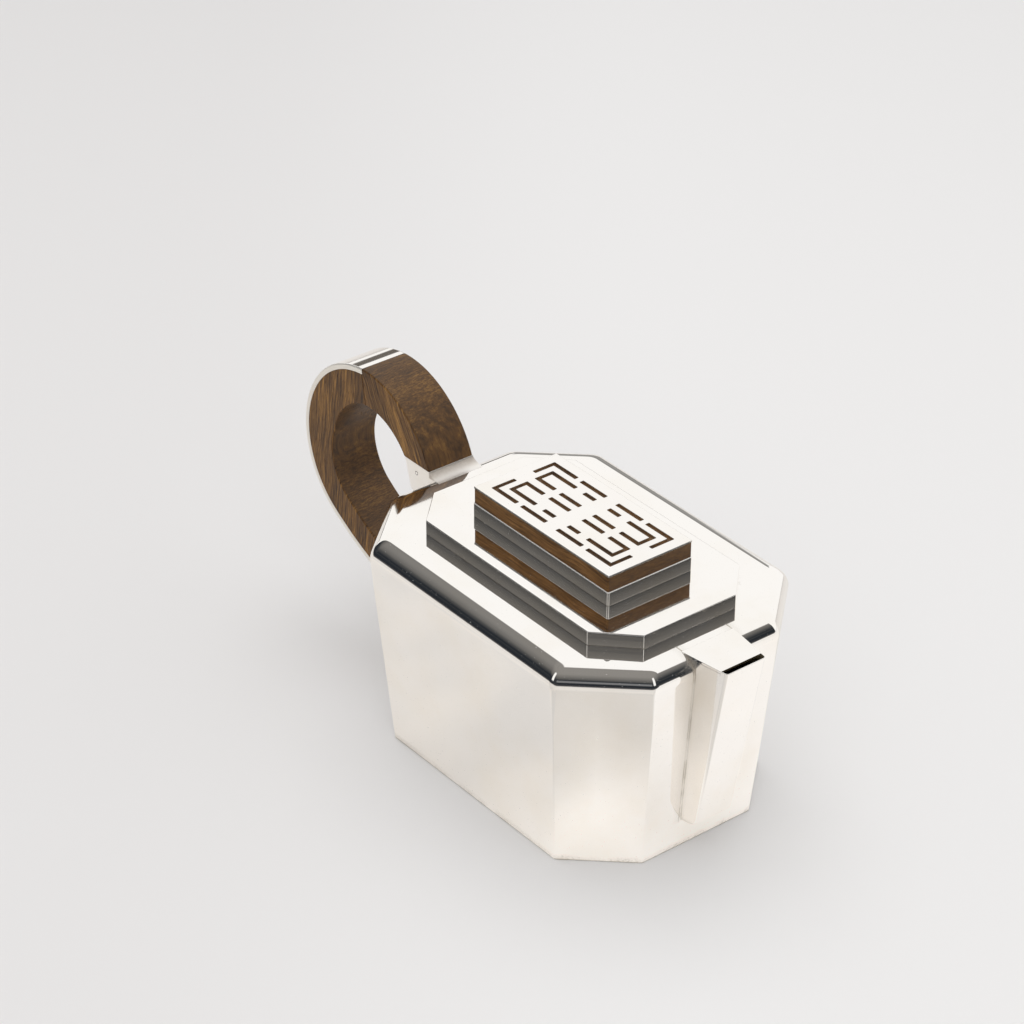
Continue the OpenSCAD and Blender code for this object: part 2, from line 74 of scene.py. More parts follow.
@dataclass
class Skin:
    """Gathers grids of points into one mesh, with a normal for every point."""

    points: list[Array] = field(default_factory=list)
    normals: list[Array] = field(default_factory=list)
    faces: list[list[int]] = field(default_factory=list)
    tags: list[Array] = field(default_factory=list)
    count: int = 0

    def grid(self, points: Array, normals: Array, wrap_rows: bool = False, flip: bool = False) -> Array:
        """Adds a grid whose columns close on themselves.

        Face (i, j) joins rows i and i + 1 between columns j and j + 1.

        Args:
            points: Rows of rings, rows x columns x 3.
            normals: One normal for every point.
            wrap_rows: Whether the last row joins the first.
            flip: Whether the faces turn the other way round.

        Returns:
            The index of every point, rows x columns.
        """
        rows, columns = points.shape[:2]
        index = self.count + np.arange(rows * columns).reshape(rows, columns)
        self.count += rows * columns
        self.points.append(points.reshape(-1, 3))
        self.normals.append(normals.reshape(-1, 3))
        upper = np.roll(index, -1, axis=0) if wrap_rows else index[1:]
        lower = index if wrap_rows else index[:-1]
        quads = np.stack([lower, np.roll(lower, -1, 1), np.roll(upper, -1, 1), upper], -1).reshape(-1, 4)
        self.faces += (quads[:, ::-1] if flip else quads).tolist()
        return index

    def cap(self, ring: Array, flip: bool = False) -> None:
        """Closes a ring of points with one flat face.

        Args:
            ring: Indices of the points in order.
            flip: Whether the face turns the other way round.
        """
        self.faces.append((ring[::-1] if flip else ring).tolist())

    def tube(self, points: Array, normals: Array, flip: bool = False) -> None:
        """Adds a grid and closes its first and its last row with a flat face each.

        Args:
            points: Rows of rings, rows x columns x 3.
            normals: One normal for every point.
            flip: Whether the faces turn the other way round.
        """
        index = self.grid(points, normals, flip=flip)
        self.cap(index[0], flip=not flip)
        self.cap(index[-1], flip=flip)

    def build(self, name: str, shaded: bool = True) -> bpy.types.Object:
        """Makes the object.

        Args:
            name: The piece's name.
            shaded: Whether the gathered normals are used.

        Returns:
            The new object, linked to the scene.
        """
        mesh = bpy.data.meshes.new(name)
        mesh.from_pydata(np.concatenate(self.points).tolist(), [], self.faces)
        mesh.validate()
        mesh.polygons.foreach_set("use_smooth", [True] * len(mesh.polygons))
        if self.tags:
            layer = mesh.attributes.new("inside", "FLOAT", "POINT")
            layer.data.foreach_set("value", np.concatenate(self.tags).astype(np.float32))
        if shaded:
            normals = np.concatenate(self.normals)
            normals /= np.maximum(np.linalg.norm(normals, axis=1, keepdims=True), 1e-12)
            mesh.normals_split_custom_set_from_vertices(normals.tolist())
        mesh.update()
        piece = bpy.data.objects.new(name, mesh)
        bpy.context.scene.collection.objects.link(piece)
        return piece


def bearing(angles: Array) -> Array:
    """Unit vectors at angles in radians, as rows of cosine and sine."""
    return np.stack([np.cos(angles), np.sin(angles)], -1)


def rings(
    angles: Array, halves: Array, radii: Array, steps: int, centre: float = 0.0
) -> tuple[Array, Array]:
    """Rounded polygons, one for each row.

    Side k is the line at a distance halves[k] from the centre along angles[k]. Neighbouring sides
    meet in an arc: its centre is where both lines meet after they move in by the radius.

    Args:
        angles: Direction of each side, in radians, rows x sides.
        halves: Distance of each side from the centre, rows x sides.
        radii: Corner radius of each row.
        steps: Points on each corner arc.
        centre: Where the centre lies along X.

    Returns:
        Points and outward directions, rows x sides * steps x 2.
    """
    after = np.roll(angles, -1, 1)
    turn = (after - angles) % (2 * np.pi)
    near = halves - radii[:, None]
    far = np.roll(near, -1, 1)
    determinant = np.sin(turn)
    x = (near * np.sin(after) - far * np.sin(angles)) / determinant
    y = (far * np.cos(angles) - near * np.cos(after)) / determinant
    direction = bearing(angles[:, :, None] + turn[:, :, None] * np.linspace(0, 1, steps))
    place = np.stack([x + centre, y], -1)[:, :, None, :] + radii[:, None, None, None] * direction
    rows = len(halves)
    return place.reshape(rows, -1, 2), direction.reshape(rows, -1, 2)


def stack(
    angles: Array, halves: Array, heights: Array, tilts: Array, radii: Array,
    steps: int = 5, centre: float = 0.0,
) -> tuple[Array, Array]:
    """Stacks rounded polygons at their heights, in mm, as a grid in metres.

    The normal is the outward direction turned up by the row's tilt: direction * cos(tilt) + Z * sin(tilt).

    Args:
        angles: Direction of each side, rows x sides.
        halves: Distance of each side, rows x sides.
        heights: Height of each row.
        tilts: Tilt of the surface above each side, rows x sides, in radians.
        radii: Corner radius of each row.
        steps: Points on each corner arc.
        centre: Where the centre lies along X.

    Returns:
        Points and normals.
    """
    place, direction = rings(angles, halves, radii, steps, centre)
    tilt = tilts[:, :, None] + (np.roll(tilts, -1, 1) - tilts)[:, :, None] * np.linspace(0, 1, steps)
    tilt = tilt.reshape(len(halves), -1)
    points = np.concatenate([place, np.broadcast_to(heights[:, None, None], place.shape[:2] + (1,))], -1)
    normals = np.concatenate([direction * np.cos(tilt)[..., None], np.sin(tilt)[..., None]], -1)
    return points * MM, normals


@dataclass
class Station:
    """One row of a stacked skin: the side distances, height, tilt and corner radius, in mm and degrees."""

    halves: Sequence[float]
    height: float
    tilt: float | Sequence[float]
    radius: float
    angles: Optional[Sequence[float]] = None


def skin_of(
    stations: list[Station], angles: Sequence[float], steps: int = 5, centre: float = 0.0
) -> tuple[Array, Array]:
    """Turns stations into a stacked skin.

    Args:
        stations: The rows in order.
        angles: Directions of the sides in degrees, for the stations without their own.
        steps: Points on each corner arc.
        centre: Where the centre lies along X, in mm.

    Returns:
        Points in metres and normals.
    """
    count = len(angles)
    directions = np.radians([s.angles if s.angles is not None else angles for s in stations])
    halves = np.array([s.halves for s in stations], float)
    tilts = np.radians([np.broadcast_to(s.tilt, count) for s in stations])
    return stack(
        directions, halves, np.array([s.height for s in stations], float), tilts,
        np.array([s.radius for s in stations], float), steps, centre,
    )


# Directions of the sides of the lid and of the finial, in degrees from X.
OCTAGON = (0.0, 45.0, 90.0, 135.0, 180.0, 225.0, 270.0, 315.0)
SQUARE = (0.0, 90.0, 180.0, 270.0)


def octagon_halves(length: float, width: float, cut: float) -> Array:
    """Distances of the sides of a rectangle whose corners are cut off at 45 degrees.

    Args:
        length: Size along X.
        width: Size along Y.
        cut: How much of each side a corner takes.

    Returns:
        The eight distances from the middle.
    """
    corner = (length / 2 + width / 2 - cut) / math.sqrt(2)
    return np.array([length / 2, corner, width / 2, corner] * 2)


def box_halves(length: float, width: float) -> Array:
    """Distances of the four sides of a rectangle from its middle."""
    return np.array([length / 2, width / 2] * 2)



def rounded_edge(
    halves: Array, height: float, radius: float, corner: float, start: float, stop: float, steps: int = 4,
    pillow: float = 0.0,
) -> list[Station]:
    """Stations round a horizontal edge.

    The edge's arc has its centre at (side - radius, height -+ radius) and runs from the tilt start
    to the tilt stop, both in degrees.

    Args:
        halves: Distances of the sides outside the edge.
        height: Height of the flat face that the edge ends on.
        radius: Radius of the edge.
        corner: Corner radius of the rows.
        start: Tilt at the first row.
        stop: Tilt at the last row.
        steps: Number of rows.
        pillow: Tilt that polishing gave the upright face where it meets the edge.

    Returns:
        The stations in order.
    """
    up = 1 if stop + start > 0 else -1
    out = []
    for tilt in np.linspace(start, stop, steps):
        a = math.radians(tilt)
        out.append(
            Station(
                halves - radius + radius * math.cos(a), height - up * radius + radius * math.sin(a),
                tilt + up * pillow * (abs(tilt) < 1), max(corner - radius + radius * math.cos(a), 0.02),
            )
        )
    return out


def bevel(piece: bpy.types.Object, width: float, segments: int = 2, angle: float = 25.0) -> None:
    """Rounds a piece's edges with a Bevel modifier.

    Args:
        piece: The piece.
        width: Width of the rounding, in mm.
        segments: Faces across it.
        angle: Turn in degrees from which an edge is rounded.
    """
    edge = piece.modifiers.new("edge", "BEVEL")
    edge.width = width * MM
    edge.segments = segments
    edge.limit_method = "ANGLE"
    edge.angle_limit = math.radians(angle)
    edge.harden_normals = True
    edge.miter_outer = "MITER_ARC"


class Way(Enum):
    """Which way a flat outline is carried; the value is the place of that axis."""

    ACROSS = 1
    UP = 2


def prism(outline: Array, low: float, high: float, way: Way) -> Skin:
    """A flat outline carried straight along an axis, in mm.

    Its area is half the sum of x_k y_(k+1) - x_(k+1) y_k, whose sign tells which way it runs round.

    Args:
        outline: Corners in order, k x 2: X and Z when it is carried across, X and Y when up.
        low: Where it starts along the axis.
        high: Where it ends.
        way: Which way it is carried.

    Returns:
        A closed skin without normals of its own.
    """
    points = np.stack([np.insert(outline, way.value, place, axis=1) for place in (low, high)]) * MM
    after = np.roll(outline, -1, 0)
    area = np.sum(outline[:, 0] * after[:, 1] - after[:, 0] * outline[:, 1])
    flip = (area > 0) == (way is Way.ACROSS)
    skin = Skin()
    skin.tube(points, np.zeros_like(points), flip)
    return skin


# ---------------------------------------------------------------- shader graphs


class Graph:
    """A node tree, with one method that makes any node."""

    def __init__(self, owner: bpy.types.Material | bpy.types.World) -> None:
        """Empties the node tree of a material or of the world.

        Args:
            owner: The material or the world.
        """
        owner.use_nodes = True
        self.tree = owner.node_tree
        self.tree.nodes.clear()

    def node(
        self, kind: str, settings: Optional[dict[str, object]] = None, out: int | str = 0, **inputs: object
    ) -> "Wire":
        """Makes a node.

        Args:
            kind: The node's type without the leading ShaderNode.
            settings: Attributes that are set first; "stops" fills a colour ramp.
            out: Output to return.
            **inputs: Values or wires by socket name, with _ for a blank, or by _0, _1 for a place.

        Returns:
            The chosen output as a wire.
        """
        node = self.tree.nodes.new("ShaderNode" + kind)
        for key, value in (settings or {}).items():
            if key == "stops":
                ramp = node.color_ramp
                while len(ramp.elements) < len(value):
                    ramp.elements.new(0.5)
                for element, (place, colour) in zip(ramp.elements, value):
                    element.position = place
                    element.color = (*colour, 1.0)
            else:
                setattr(node, key, value)
        for key, value in inputs.items():
            socket = node.inputs[int(key[1:])] if key[0] == "_" else node.inputs[key.replace("_", " ")]
            self.feed(socket, value)
        return Wire(self, node.outputs[out])

    def feed(self, socket: bpy.types.NodeSocket, value: object) -> None:
        """Links a wire to a socket, or sets the socket's own value.

        Args:
            socket: The input.
            value: A wire, a number, a colour or a vector.
        """
        if isinstance(value, Wire):
            self.tree.links.new(value.socket, socket)
        elif isinstance(value, tuple) and len(value) == 3 and len(socket.default_value) == 4:
            socket.default_value = (*value, 1.0)
        else:
            socket.default_value = value

    def maths(self, operation: str, *values: object) -> "Wire":
        """Makes a Math node.

        Args:
            operation: What it does.
            *values: Up to three numbers or wires.

        Returns:
            The result.
        """
        return self.node("Math", {"operation": operation}, **{f"_{k}": v for k, v in enumerate(values)})

    def blend(self, share: object, first: object, second: object) -> "Wire":
        """Mixes two colours.

        Args:
            share: Share of the second colour.
            first: Colour at the share 0.
            second: Colour at the share 1.

        Returns:
            The mixed colour.
        """
        return self.node("Mix", {"data_type": "RGBA"}, out=2, _0=share, _6=first, _7=second)

    def noise(self, place: "Wire", scale: float, detail: float = 3.0, rough: float = 0.5) -> "Wire":
        """Noise at a place.

        Args:
            place: Where it is read.
            scale: Lumps for each unit of the place.
            detail: Number of finer layers.
            rough: Strength of the finer layers.

        Returns:
            A value from 0 to 1.
        """
        return self.node("TexNoise", Vector=place, Scale=scale, Detail=detail, Roughness=rough)

    def step(self, value: "Wire", low: float, high: float) -> "Wire":
        """Smooth ramp.

        Args:
            value: What it follows.
            low: Value at which it leaves 0.
            high: Value at which it reaches 1.

        Returns:
            A value from 0 to 1.
        """
        return self.node("MapRange", {"interpolation_type": "SMOOTHSTEP"}, Value=value, _1=low, _2=high)

    def spot(self) -> "Wire":
        """Object coordinates, in metres."""
        return self.node("TexCoord", out="Object")

    def stretched(self, scale: Sequence[float], turn: Sequence[float]) -> "Wire":
        """Object coordinates that are turned and then scaled.

        Args:
            scale: Factor along each axis.
            turn: Angle about each axis, in degrees.

        Returns:
            The new place.
        """
        turned = self.node("Mapping", Vector=self.spot(), Rotation=tuple(math.radians(a) for a in turn))
        return self.node("Mapping", Vector=turned, Scale=tuple(scale))

    def axes(self, place: "Wire", names: str = "XYZ") -> tuple["Wire", ...]:
        """Coordinates of a place.

        Args:
            place: The place.
            names: The axes that are wanted.

        Returns:
            One wire for each axis.
        """
        return tuple(self.node("SeparateXYZ", out=name, Vector=place) for name in names)

    def along(self, place: "Wire", direction: tuple[float, float, float]) -> "Wire":
        """How far a place lies along a direction: the dot product of both.

        Args:
            place: The place.
            direction: The direction.

        Returns:
            The distance.
        """
        return self.node("VectorMath", {"operation": "DOT_PRODUCT"}, "Value", _0=place, _1=direction)

    def mirrored(self) -> "Wire":
        """1 where a mirror looks, and 0 for the camera and for the light that falls on the object."""
        first = self.maths("LESS_THAN", self.node("LightPath", out="Diffuse Depth"), 0.5)
        return self.node("LightPath", out="Is Glossy Ray") * first


class Surface(Graph):
    """A material's graph: a Principled shader with its output."""

    def __init__(self, name: str) -> None:
        """Starts the material.

        Args:
            name: Its name.
        """
        self.material = bpy.data.materials.new(name)
        super().__init__(self.material)
        output = self.tree.nodes.new("ShaderNodeOutputMaterial")
        self.shader = self.tree.nodes.new("ShaderNodeBsdfPrincipled")
        self.tree.links.new(self.shader.outputs[0], output.inputs[0])

    def shade(self, **inputs: object) -> None:
        """Feeds inputs of the shader.

        Args:
            **inputs: Numbers, colours or wires by socket name, with _ for a blank.
        """
        for key, value in inputs.items():
            self.feed(self.shader.inputs[key.replace("_", " ")], value)

    def bump(self, height: "Wire", strength: float, distance: float) -> "Wire":
        """A fine relief.

        Args:
            height: Height at a point, as a share of the distance.
            strength: Share of the relief that is used.
            distance: Depth of the relief, in metres.

        Returns:
            The bent normal.
        """
        return self.node("Bump", Height=height, Strength=strength, Distance=distance)

    def inside(self) -> "Wire":
        """1 on the hidden side of a hollow piece, from the attribute of its skin."""
        return self.node("Attribute", {"attribute_name": "inside"}, "Fac")


@dataclass(frozen=True)
class Wire:
    """A socket that Python's operators work on."""

    graph: Graph
    socket: bpy.types.NodeSocket

    def __add__(self, other: object) -> "Wire":
        """Sum."""
        return self.graph.maths("ADD", self, other)

    __radd__ = __add__

    def __mul__(self, other: object) -> "Wire":
        """Product."""
        return self.graph.maths("MULTIPLY", self, other)

    __rmul__ = __mul__

    def __sub__(self, other: object) -> "Wire":
        """Difference."""
        return self.graph.maths("SUBTRACT", self, other)

    def __rsub__(self, other: object) -> "Wire":
        """Difference, the other way round."""
        return self.graph.maths("SUBTRACT", other, self)

    def __truediv__(self, other: object) -> "Wire":
        """Quotient."""
        return self.graph.maths("DIVIDE", self, other)

    def __rtruediv__(self, other: object) -> "Wire":
        """Quotient, the other way round."""
        return self.graph.maths("DIVIDE", other, self)

    def __abs__(self) -> "Wire":
        """Distance from zero."""
        return self.graph.maths("ABSOLUTE", self)

    def at_least(self, other: object) -> "Wire":
        """The larger of both."""
        return self.graph.maths("MAXIMUM", self, other)

    def at_most(self, other: object) -> "Wire":
        """The smaller of both."""
        return self.graph.maths("MINIMUM", self, other)


# ---------------------------------------------------------------- finishes


@dataclass(frozen=True)
class Silver:
    """Polished sheet silver with fine wear.

    A thin haze of crossing scratches lifts the roughness here and there, a faint warm film changes
    the colour over a few centimetres, and specks of dust lie on it.
    """

    name: str = "polished silver"
    bright: Colour = (0.962, 0.937, 0.905)
    film: Colour = (0.91, 0.855, 0.77)
    film_share: float = 0.45
    roughness: float = 0.035
    haze: float = 0.07
    scratch: float = 0.05
    scratch_depth: float = 0.00004
    dust: float = 0.5
    # Colour of the marks: grime, and in some finishes painted shade, painted highlights and painted
    # reflections.
    grime: Colour = (0.3, 0.24, 0.15)
    grime_roughness: float = 0.35
    grime_cover: float = 0.45

    def dirt(self, g: Surface) -> Optional[Wire]:
        """Share of dirt and of painted light at a point; plain silver has neither."""
        return None

    def base(self, g: Surface, patches: Wire) -> Wire:
        """Base colour before the dirt.

        Args:
            g: The material's graph.
            patches: Where the warm film lies.

        Returns:
            The colour.
        """
        return g.blend(patches * self.film_share, self.bright, self.film)

    def alpha(self, g: Surface) -> object:
        """Share of the metal at a point; plain silver has no holes."""
        return 1.0

    @cache
    def make(self) -> bpy.types.Material:
        """Builds the material, once for each finish.

        Returns:
            The material.
        """
        g = Surface(self.name)
        spot = g.spot()
        patches = g.step(g.noise(spot, 26.0, 4.0, 0.6), 0.42, 0.75)
        rubbed = g.noise(g.stretched((40, 900, 900), (8, 20, 35)), 1.0, 3.0, 0.6)
        crossed = g.noise(g.stretched((700, 60, 700), (20, -12, -28)), 1.0, 3.0, 0.6)
        lines = g.step(rubbed, 0.55, 0.8) + g.step(crossed, 0.58, 0.82)
        specks = g.step(g.noise(spot, 1700.0, 1.0, 0.5), 0.74, 0.8) * self.dust
        colour = self.base(g, patches)
        rough = patches * self.haze * 0.5 + lines * self.haze * 0.25 + self.roughness
        metal = 1.0 - specks
        # Dirt and painted light share this blend: grime, and in some finishes painted shade, painted
        # highlights and painted reflections.
        dirt = self.dirt(g)
        if dirt is not None:
            colour = g.blend(dirt, colour, self.grime)
            rough = rough + dirt * self.grime_roughness
            metal = metal - dirt * self.grime_cover
        relief = g.bump(rubbed + crossed, self.scratch, self.scratch_depth)
        g.shade(Base_Color=colour, Metallic=metal.at_least(0.0), Roughness=rough, Normal=relief)
        g.shade(Alpha=self.alpha(g))
        return g.material


@dataclass(frozen=True)
class BodySilver(Silver):
    """The body's silver: grime along the foot, the lid's seam and the spout's solder, a painted contact
    shadow along the very foot, duller inside.

    The sizes are in metres.
    """

    name: str = "body silver"
    inside: Colour = (0.84, 0.74, 0.54)
    stain: Colour = (0.6, 0.47, 0.28)
    hole: float = 0.00125
    pitch: float = 0.0045
    first_row: float = 0.02
    last_row: float = 6.0
    last_column: float = 1.0
    wall_start: float = 0.06
    seam_flare: float = 0.0221
    seam_foot: float = 0.00995
    lid_half: tuple[float, float] = (0.0625, 0.0365)
    lid_corner: float = 0.0845
    lid_shift: float = 0.0016

    def base(self, g: Surface, patches: Wire) -> Wire:
        """Silver outside, and a yellow tea-stained film inside.

        Args:
            g: The material's graph.
            patches: Where the film lies.

        Returns:
            The colour.
        """
        return g.blend(g.inside(), super().base(g, patches), g.blend(patches, self.inside, self.stain))

    def dirt(self, g: Surface) -> Wire:
        """Grime where a cloth does not reach, and a painted contact shadow along the bottom edge.

        The spout's seam lies at |y| = 9.95 mm + 0.0221 z on the front wall, the foot's grime fades over
        three and a half millimetres, and the painted contact shadow lies on the lowest 0.2 to 0.7 mm.

        Args:
            g: The material's graph.

        Returns:
            The share of grime and painted shade.
        """
        spot = g.spot()
        x, y, z = g.axes(spot)
        grain = g.noise(spot, 420.0, 4.0, 0.65)
        patch = g.noise(spot, 60.0, 3.0, 0.6)
        grit = g.step(g.noise(spot, 1500.0, 3.0, 0.6), 0.45, 0.7)
        foot = (1.0 - g.step(z, 0.0, 0.0035)) * g.step(patch, 0.34, 0.62) * (grit * 0.34 + 0.18)
        # Painted contact shadow: the lowest 0.2 to 0.7 mm of the walls darken evenly.
        foot = foot + (1.0 - g.step(z, 0.0002, 0.0007)) * 0.4
        seam = abs(abs(y) - z * self.seam_flare - self.seam_foot)
        line = (1.0 - g.step(seam, 0.0001, 0.0004)) * (g.step(patch, 0.4, 0.6) * 0.34 + 0.14)
        haze = (1.0 - g.step(seam, 0.0, 0.004)) * patch * 0.2
        front = g.step(x, 0.0695, 0.0705) * g.step(z, 0.0115, 0.0135)
        broken = g.step(grain * 0.5 + patch * 0.5, 0.46, 0.7)
        rim = self.lid_line(g, x, y) * g.step(z, 0.0885, 0.0895) * broken * 0.2
        return (foot + (line + haze) * front + rim).at_most(0.85)

    def lid_line(self, g: Surface, x: Wire, y: Wire) -> Wire:
        """Grime close to the lid's outline.

        The distance to the octagon is the largest of |x| - half length, |y| - half width and
        (|x| + |y| - corner) / sqrt(2), all about the lid's own middle.

        Args:
            g: The material's graph.
            x: Place along the pot.
            y: Place across it.

        Returns:
            The share of grime.
        """
        a, b = abs(x - self.lid_shift), abs(y)
        corner = (a + b - self.lid_corner) * math.sqrt(0.5)
        far = (a - self.lid_half[0]).at_least(b - self.lid_half[1]).at_least(corner)
        return 1.0 - g.step(abs(far), 0.0, 0.0016)

    def alpha(self, g: Surface) -> Wire:
        """Drills the strainer: 3 x 7 round holes through the front wall behind the spout.

        Args:
            g: The material's graph.

        Returns:
            0 in a hole and 1 on the metal.
        """
        x, y, z = g.axes(g.spot())
        column = g.maths("ROUND", y * (1 / self.pitch)).at_most(self.last_column).at_least(-self.last_column)
        level = (z - self.first_row) * (1 / self.pitch)
        row = g.maths("ROUND", level).at_most(self.last_row).at_least(0.0)
        off_y = y - column * self.pitch
        off_z = (level - row) * self.pitch
        reach = g.maths("SQRT", off_y * off_y + off_z * off_z)
        return 1.0 - g.maths("LESS_THAN", reach, self.hole) * g.maths("GREATER_THAN", x, self.wall_start)


@dataclass(frozen=True)
class SpoutSilver(Silver):
    """The spout's silver: grime in the solder along the wall, painted shade on the flanks near the wall and
    at the foot, and a brown stain inside.
    """

    name: str = "spout silver"
    inside: Colour = (0.34, 0.26, 0.17)
    wall_foot: float = 0.0715
    wall_lean: float = 0.1042

    def base(self, g: Surface, patches: Wire) -> Wire:
        """Silver outside, and a brown stain inside.

        Args:
            g: The material's graph.
            patches: Where the warm film lies.

        Returns:
            The colour.
        """
        return g.blend(g.inside(), super().base(g, patches), self.inside)

    def dirt(self, g: Surface) -> Wire:
        """Grime close to the wall, which stands at x = 71.5 mm + 0.1042 z, painted shade on the flanks near
        the wall, and painted shade at the foot.

        Args:
            g: The material's graph.

        Returns:
            The share of grime and painted shade.
        """
        spot = g.spot()
        x, y, z = g.axes(spot)
        gap = x - z * self.wall_lean - self.wall_foot
        grain = g.step(g.noise(spot, 60.0, 3.0, 0.6), 0.35, 0.65)
        line = (1.0 - g.step(gap, 0.0, 0.00035)) * (grain * 0.26 + 0.12)
        # Painted shade on the flanks within 13.5 mm of the wall, stronger from 12 mm up.
        haze = (1.0 - g.step(gap, 0.001, 0.0135)) * g.step(abs(y), 0.0078, 0.0088)
        # Painted shade at the foot: the spout darkens below 13 to 15.5 mm.
        haze = haze * (g.step(z, 0.012, 0.06) * 0.13 + 0.03) + (1.0 - g.step(z, 0.0132, 0.0155)) * 0.16
        return (line + haze).at_least(g.inside() * 0.9)


@dataclass(frozen=True)
class StrapSilver(Silver):
    """The strap's silver, with satin edges where the side of the band was only filed."""

    name: str = "strap silver"
    grime: Colour = (0.84, 0.8, 0.73)
    satin: tuple[float, float] = (0.0102, 0.0107)

    def dirt(self, g: Surface) -> Wire:
        """Share of the satin edge, from the distance to the middle."""
        return g.step(abs(g.axes(g.spot(), "Y")[0]), *self.satin)


@dataclass(frozen=True)
class FinialSilver(Silver):
    """The finial base's silver, with a painted highlight: a thin white line along its rounded upper edge."""

    name: str = "finial silver"
    # Colour of the painted highlight.
    grime: Colour = (0.97, 0.95, 0.92)
    edge: float = 0.1013

    def dirt(self, g: Surface) -> Wire:
        """Share of the painted highlight along the upper edge."""
        return g.step(g.axes(g.spot(), "Z")[0], self.edge, self.edge + 0.0001)


@dataclass(frozen=True)
class SocketSilver(Silver):
    """The upper socket's satin silver, with a painted reflection of the wood: a brown tint on the toe."""

    name: str = "satin silver"
    bright: Colour = (0.93, 0.9, 0.865)
    film_share: float = 0.7
    roughness: float = 0.28
    haze: float = 0.12
    # Colour of the painted reflection of the wood.
    grime: Colour = (0.34, 0.27, 0.21)

    def dirt(self, g: Surface) -> Wire:
        """The painted reflection of the wood: a brown tint on the toe, most at the wood and none at its end.

        Args:
            g: The material's graph.

        Returns:
            The share of the tint.
        """
        spot = g.spot()
        x, z = g.axes(spot, "XZ")
        grain = g.noise(spot, 900.0, 3.0, 0.6)
        toe = g.step(x, -0.0789, -0.0783) * (1.0 - g.step(x, -0.078, -0.0735)) * g.step(z, 0.0895, 0.09)
        return toe * (grain * 0.3 + 0.42)


@dataclass(frozen=True)
class PinSilver(Silver):
    """Pin heads with a dark line round them. The places are the X and Z of the pins, in metres."""

    name: str = "pin silver"
    places: tuple[tuple[float, float], ...] = ((-0.0867, 0.08815), (-0.0775, 0.0281))
    grime: Colour = (0.1, 0.09, 0.08)
    line: tuple[float, float] = (0.00055, 0.00075)
    far: float = 0.003

    def dirt(self, g: Surface) -> Wire:
        """The dark line, from the distance to a pin's axis.

        Args:
            g: The material's graph.

        Returns:
            The share of dirt.
        """
        x, z = g.axes(g.spot(), "XZ")
        share = 0.0
        for px, pz in self.places:
            a, b = x - px, z - pz
            reach = g.maths("SQRT", a * a + b * b)
            share = share + g.step(reach, *self.line) * g.maths("LESS_THAN", reach, self.far)
        return share


@dataclass(frozen=True)
class Rosewood:
    """Oiled rosewood with straight grain along one direction, dark streaks and fine open pores.

    The growth layers lie across the handle, so the streaks show on its sides and the wavy figure
    on its curved faces, whose darker, greyer colour is also a painted sheen.
    """

    name: str = "rosewood"
    turn: tuple[float, float, float] = (0.0, 0.0, 0.0)
    dark: Colour = (0.026, 0.012, 0.005)
    middle: Colour = (0.15, 0.07, 0.018)
    light: Colour = (0.42, 0.215, 0.05)
    dusk: Colour = (0.07, 0.048, 0.034)
    roughness: float = 0.42
    oil: float = 0.24

    @cache
    def make(self) -> bpy.types.Material:
        """Builds the material, once for each wood. The grain runs along Z after the turn.

        Returns:
            The material.
        """
        g = Surface(self.name)
        bend = g.noise(g.stretched((30, 30, 30), self.turn), 1.0, 2.0, 0.5) * 0.006
        shift = g.node("CombineXYZ", X=bend)
        spot = g.node("VectorMath", {"operation": "ADD"}, _0=g.stretched((1, 1, 1), self.turn), _1=shift)

        def grain(scale: tuple[float, float, float], detail: float, rough: float) -> Wire:
            """Noise drawn out along the grain."""
            return g.noise(g.node("Mapping", Vector=spot, Scale=scale), 1.0, detail, rough)

        wave = grain((170, 45, 12), 2.0, 0.5)
        bands = grain((1900, 260, 60), 4.0, 0.65)
        fine = grain((2400, 900, 120), 3.0, 0.65)
        holes = g.step(grain((3000, 2500, 260), 2.0, 0.5), 0.6, 0.7)
        tone = bands * 0.66 + wave * 0.28 + fine * 0.36 - 0.15
        stops = [(0.36, self.dark), (0.52, self.middle), (0.68, self.light)]
        colour = g.node("ValToRGB", {"stops": stops}, Fac=tone)
        colour = g.blend(holes * 0.7, colour, self.dark)
        # Wavy figure and painted sheen: faces that don't face along Y turn a darker, greyer brown.
        facing = g.axes(g.node("NewGeometry", out="Normal"), "Y")[0]
        curved = 1.0 - g.step(abs(facing), 0.4, 0.8)
        figure = g.blend(bands, self.dusk, g.blend(0.55, self.dusk, self.middle))
        g.shade(
            Base_Color=g.blend(curved * 0.6, colour, figure),
            Roughness=holes * 0.25 + fine * 0.12 + self.roughness - curved * 0.08,
            Normal=g.bump(fine * 0.4 - holes, 0.3, 0.00005),
            Specular_IOR_Level=self.oil,
        )
        return g.material


# ---------------------------------------------------------------- sub-assemblies


class SubAssembly:
    """Pieces that are made and dressed together."""

    def build(self) -> dict[str, bpy.types.Object]:
        """Makes the pieces, each under the node that it stands for."""
        raise NotImplementedError

    def finishes(self) -> dict[str, Silver | Rosewood]:
        """Finishes by node, where they aren't plain polished silver."""
        return {}

    def dress(self) -> set[str]:
        """Makes the pieces and gives each its finish, body and slot, in its node's place.

        Returns:
            The nodes that the pieces stand for.
        """
        pieces, finishes = self.build(), self.finishes()
        for node, piece in pieces.items():
            piece.data.materials.clear()
            piece.data.materials.append(finishes.get(node, Silver()).make())
            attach(piece, BODY_OF[node])
            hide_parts(node)
            log.info("%s stands for %s, %d faces", piece.name, node, len(piece.data.polygons))
        return set(pieces)


